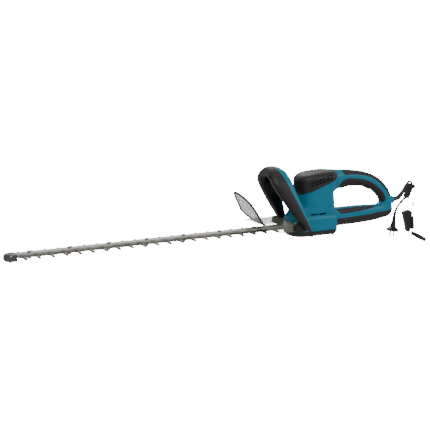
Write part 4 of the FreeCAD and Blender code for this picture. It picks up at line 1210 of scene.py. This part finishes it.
# ------------------------------------------------------------------ hand guard
@dataclass
class HandGuard:
    """Clear petal in front of the hand, its dark rim, and the clear saddle over the blade's root."""

    rim: tuple[tuple[float, float, float], ...] = (
        (-381.6, 0, -0.9), (-376.8, 9, -3.9), (-373.9, 18, -6.6), (-365.0, 32, -16.5), (-358.5, 41, -25.4),
        (-351.2, 46, -36.2), (-343.9, 51, -48.1), (-337.5, 53, -60.6), (-331.6, 50, -68.4), (-325.8, 45, -75.6),
        (-317.4, 36, -83.4), (-307.9, 25, -91.7), (-298.0, 12, -97.0), (-291.0, 0, -99.5))
    lean: tuple[float, float, float] = (-0.84, 0.0, -0.54)
    thick: float = 2.4
    bead: float = 3.1
    bead_flatness: float = 0.75
    saddle_x: Pair = (-321.0, -225.0)
    saddle_z: float = -91.5
    top_half: float = 56.0
    edge_round: float = 4.0

    def sheet(self) -> Array:
        """Middle surface of the petal: each level runs from rim to rim, bowed forward by a parabola.

        Returns:
            Grid of points in millimetres, one row per level.
        """
        edge = spline(self.rim, np.linspace(0, len(self.rim) - 1, 72))
        half = np.maximum(edge[:, 1:2], 0)
        a = np.linspace(-1, 1, 33)[None, :]
        bow = 0.06 * half * (1 - a**2)
        return np.stack([edge[:, 0:1] - bow, half * a, edge[:, 2:3] + 0.4 * bow], -1)

    def petal(self) -> Shape:
        """Petal: its middle surface moved half the thickness each way along the lean.

        Returns:
            Points and faces.
        """
        grid = self.sheet()
        away = np.array(self.lean) * self.thick / 2
        return closed_shell((grid + away) * MM, (grid - away) * MM)

    def rim_bead(self) -> Shape:
        """Dark bead round the petal: an oval section carried along the rim, down one side and up the other.

        Returns:
            Points and faces.
        """
        edge = spline(self.rim, np.linspace(0, len(self.rim) - 1.001, 90))
        loop = np.concatenate([edge * (1, -1, 1), edge[::-1][1:-1]])
        along = unit(np.roll(loop, -1, 0) - np.roll(loop, 1, 0))
        lean = np.array(self.lean)
        across = unit(np.cross(along, lean))[:, None] * self.bead_flatness
        angle = np.linspace(0, ROUND, 14, endpoint=False)[None, :, None]
        ring = loop[:, None] + self.bead * (np.cos(angle) * across + np.sin(angle) * lean)
        points = ring.reshape(-1, 3) * MM
        return points, outward(points, quads(*ring.shape[:2], True, True))

    def saddle(self) -> Shape:
        """Saddle: flat top over the blade's root, rolled over a quarter ellipse into side walls.

        The walls are lowest at the front, and the front edge is drawn back in the middle.

        Returns:
            Points and faces.
        """
        k = np.linspace(0, 1, 40)[:, None]
        a = np.linspace(-1, 1, 61)[None, :]
        top_share = 0.72
        flat = np.clip(np.abs(a) / top_share, 0, 1)
        drop = np.clip((np.abs(a) - top_share) / (1 - top_share), 0, 1)
        wall = np.interp(k, [0.0, 0.5, 1.0], [0.0, 18.0, 18.0])
        front, back = self.saddle_x
        x = front + (back - front) * k + 28 * (1 - flat) * (1 - smooth_step(k, 0.0, 0.5))
        y = np.sign(a) * (self.top_half * flat + self.edge_round * np.sin(drop * np.pi / 2))
        z = (self.saddle_z - self.edge_round * (1 - np.cos(drop * np.pi / 2))
             - wall * np.clip((drop - 0.35) / 0.65, 0, 1))
        outer = np.stack(np.broadcast_arrays(x, y, z), -1)
        half = self.top_half + self.edge_round
        inner = outer * (1, (half - self.thick) / half, 1)
        inner[..., 2] -= self.thick * (1 - drop)
        return closed_shell(outer * MM, inner * MM)

    def build(self, paint: Paintbox) -> None:
        """Makes the petal, its bead and the saddle.

        Args:
            paint: the materials.
        """
        make_piece("guard_petal", self.petal(), "smoked_clear", paint, stands_for=("hand_guard",))
        make_piece("guard_rim", self.rim_bead(), "guard_edge", paint)
        make_piece("guard_saddle", self.saddle(), "saddle_clear", paint, crease=50)


# ------------------------------------------------------------------ lead
@dataclass
class Lead:
    """The short supply lead, its ribbed strain relief, and the pieces that hang on it."""

    diameter: float = 0.0065
    route: Line = (
        (170.5, -25.5), (175.0, -17.1), (184.4, -16.6), (189.8, -24.4), (182.4, -40.8), (172.0, -60.0),
        (159.0, -70.0), (146.5, -82.5), (138.5, -93.5), (134.5, -103.5))
    length: float = 0.124
    sleeve_route: Line = ((112.0, -66.2), (141.0, -62.0), (158.0, -46.0), (170.5, -25.5))
    ribs: int = 12
    carried: tuple[str, ...] = ("plug_body", "plug_pins", "cord_clip", "string_loop_upper", "string_loop_lower",
                                "extension_hook", "hook_toggle")

    def sleeve(self) -> Shape:
        """Strain relief: a bar that tapers along its route, with ribs where a clipped sine swells the radius.

        Returns:
            Points and faces.
        """
        k = np.linspace(0, 1, 240)
        flat = spline(self.sleeve_route, k * (len(self.sleeve_route) - 1))
        path = np.stack([flat[:, 0], 0 * k, flat[:, 1]], -1)
        swell = 0.55 * np.clip(np.sin(ROUND * self.ribs * k) * 1.6, -1, 1) * smooth_step(k, 0.16, 0.2)
        radii = 7.2 - 2.2 * k + swell * smooth_step(1 - k, 0.03, 0.08)
        return tube_along(path * MM, radii * MM, 40)

    def build(self, paint: Paintbox) -> None:
        """Args:
            paint: the materials.
        """
        curve = bpy.data.curves.new("supply lead", "CURVE")
        curve.dimensions = "3D"
        curve.bevel_depth = self.diameter / 2
        curve.bevel_resolution = 6
        curve.use_fill_caps = True
        strand = curve.splines.new("NURBS")
        points = np.array([(x * MM, 0.0, z * MM, 1.0) for x, z in self.route])
        strand.points.add(len(points) - 1)
        strand.points.foreach_set("co", points.ravel())
        strand.order_u = 3
        strand.use_endpoint_u = True
        strand.resolution_u = 24
        cord = bpy.data.objects.new("supply_lead", curve)
        bpy.context.scene.collection.objects.link(cord)
        paint.dress(cord, "cord_rubber")
        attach(cord, Body.ROOT.value)
        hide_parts("supply_cord")
        carried = [frame["nodes"][name] for name in self.carried]
        carried.append(make_piece("strain_relief_sleeve", self.sleeve(), "cord_rubber", paint,
                                  stands_for=("strain_relief",)))
        LOG.info("supply lead, %.0f mm", self.length / MM)


# ------------------------------------------------------------------ studio
@dataclass
class Studio:
    """Camera, pale floor and soft light."""

    camera_at: tuple[float, float, float] = (-1.6771, -2.6530, 0.5925)
    camera_forward: tuple[float, float, float] = (0.4125, 0.8847, -0.2171)
    lens: float = 93.93
    sensor: float = 36.0
    clip: Pair = (0.05, 150.0)
    floor_z: float = -0.42
    floor_half: float = 60.0
    floor_glow: float = 22.0
    sky_strength: float = 0.75

    def build(self) -> None:
        """Makes the camera, the floor, the sky and the lamps."""
        self.make_camera()
        self.make_floor()
        self.make_sky()
        self.make_lamp("key lamp", (-1.5, -2.4, 2.6), (-0.2, 0.0, -0.05), 1.9, 62.0)
        self.make_lamp("fill lamp", (1.9, -2.0, 1.2), (0.0, 0.0, -0.05), 1.8, 26.0)
        self.make_lamp("rim lamp", (0.4, 2.4, 2.2), (-0.2, 0.0, -0.05), 1.6, 34.0)

    def make_camera(self) -> None:
        """Places the camera level, looking along its own direction."""
        data = bpy.data.cameras.new("camera")
        data.lens, data.sensor_width = self.lens, self.sensor
        data.clip_start, data.clip_end = self.clip
        camera = bpy.data.objects.new("camera", data)
        bpy.context.scene.collection.objects.link(camera)
        camera.location = self.camera_at
        camera.rotation_mode = "QUATERNION"
        camera.rotation_quaternion = Vector(self.camera_forward).to_track_quat("-Z", "Y")
        bpy.context.scene.camera = camera

    def make_floor(self) -> None:
        """A wide flat glowing floor below the held tool, which lights and mirrors nothing."""
        corners = [(x * self.floor_half, y * self.floor_half, self.floor_z) for x, y in
                   ((-1, -1), (1, -1), (1, 1), (-1, 1))]
        mesh = bpy.data.meshes.new("floor")
        mesh.from_pydata(corners, [], [(0, 1, 2, 3)])
        floor = bpy.data.objects.new("floor", mesh)
        bpy.context.scene.collection.objects.link(floor)
        paper = bpy.data.materials.new("pale floor")
        paper.use_nodes = True
        shader = paper.node_tree.nodes["Principled BSDF"]
        shader.inputs["Base Color"].default_value = (0.9, 0.9, 0.9, 1.0)
        shader.inputs["Roughness"].default_value = 0.9
        shader.inputs["Emission Color"].default_value = (1.0, 1.0, 1.0, 1.0)
        shader.inputs["Emission Strength"].default_value = self.floor_glow
        mesh.materials.append(paper)
        floor.visible_diffuse = floor.visible_glossy = floor.visible_transmission = False

    def make_sky(self) -> None:
        """Even white light from all round."""
        world = bpy.data.worlds.new("studio")
        bpy.context.scene.world = world
        world.use_nodes = True
        sky = world.node_tree.nodes["Background"]
        sky.inputs["Color"].default_value = (1.0, 1.0, 1.0, 1.0)
        sky.inputs["Strength"].default_value = self.sky_strength

    def make_lamp(self, name: str, at: Sequence[float], target: Sequence[float], size: float,
                  watts: float) -> None:
        """Adds a square soft lamp that faces a point.

        Args:
            name: name of the lamp.
            at: its place.
            target: the point it faces.
            size: side of the lamp.
            watts: its power.
        """
        data = bpy.data.lights.new(name, "AREA")
        data.size, data.energy = size, watts
        lamp = bpy.data.objects.new(name, data)
        bpy.context.scene.collection.objects.link(lamp)
        lamp.location = at
        lamp.rotation_mode = "QUATERNION"
        lamp.rotation_quaternion = (Vector(target) - Vector(at)).to_track_quat("-Z", "Y")


def main() -> None:
    """Builds the finishes, the pieces and the studio in order."""
    logging.basicConfig(level=logging.INFO, format="%(message)s")
    paint = Paintbox()
    paint.dress_frame()
    Studio().build()
    MotorCasing().build(paint)
    RearHandle().build(paint)
    FrontHandle().build(paint)
    HandGuard().build(paint)
    CuttingBlades().build(paint)
    Lead().build(paint)


if __name__ == "__main__":
    main()
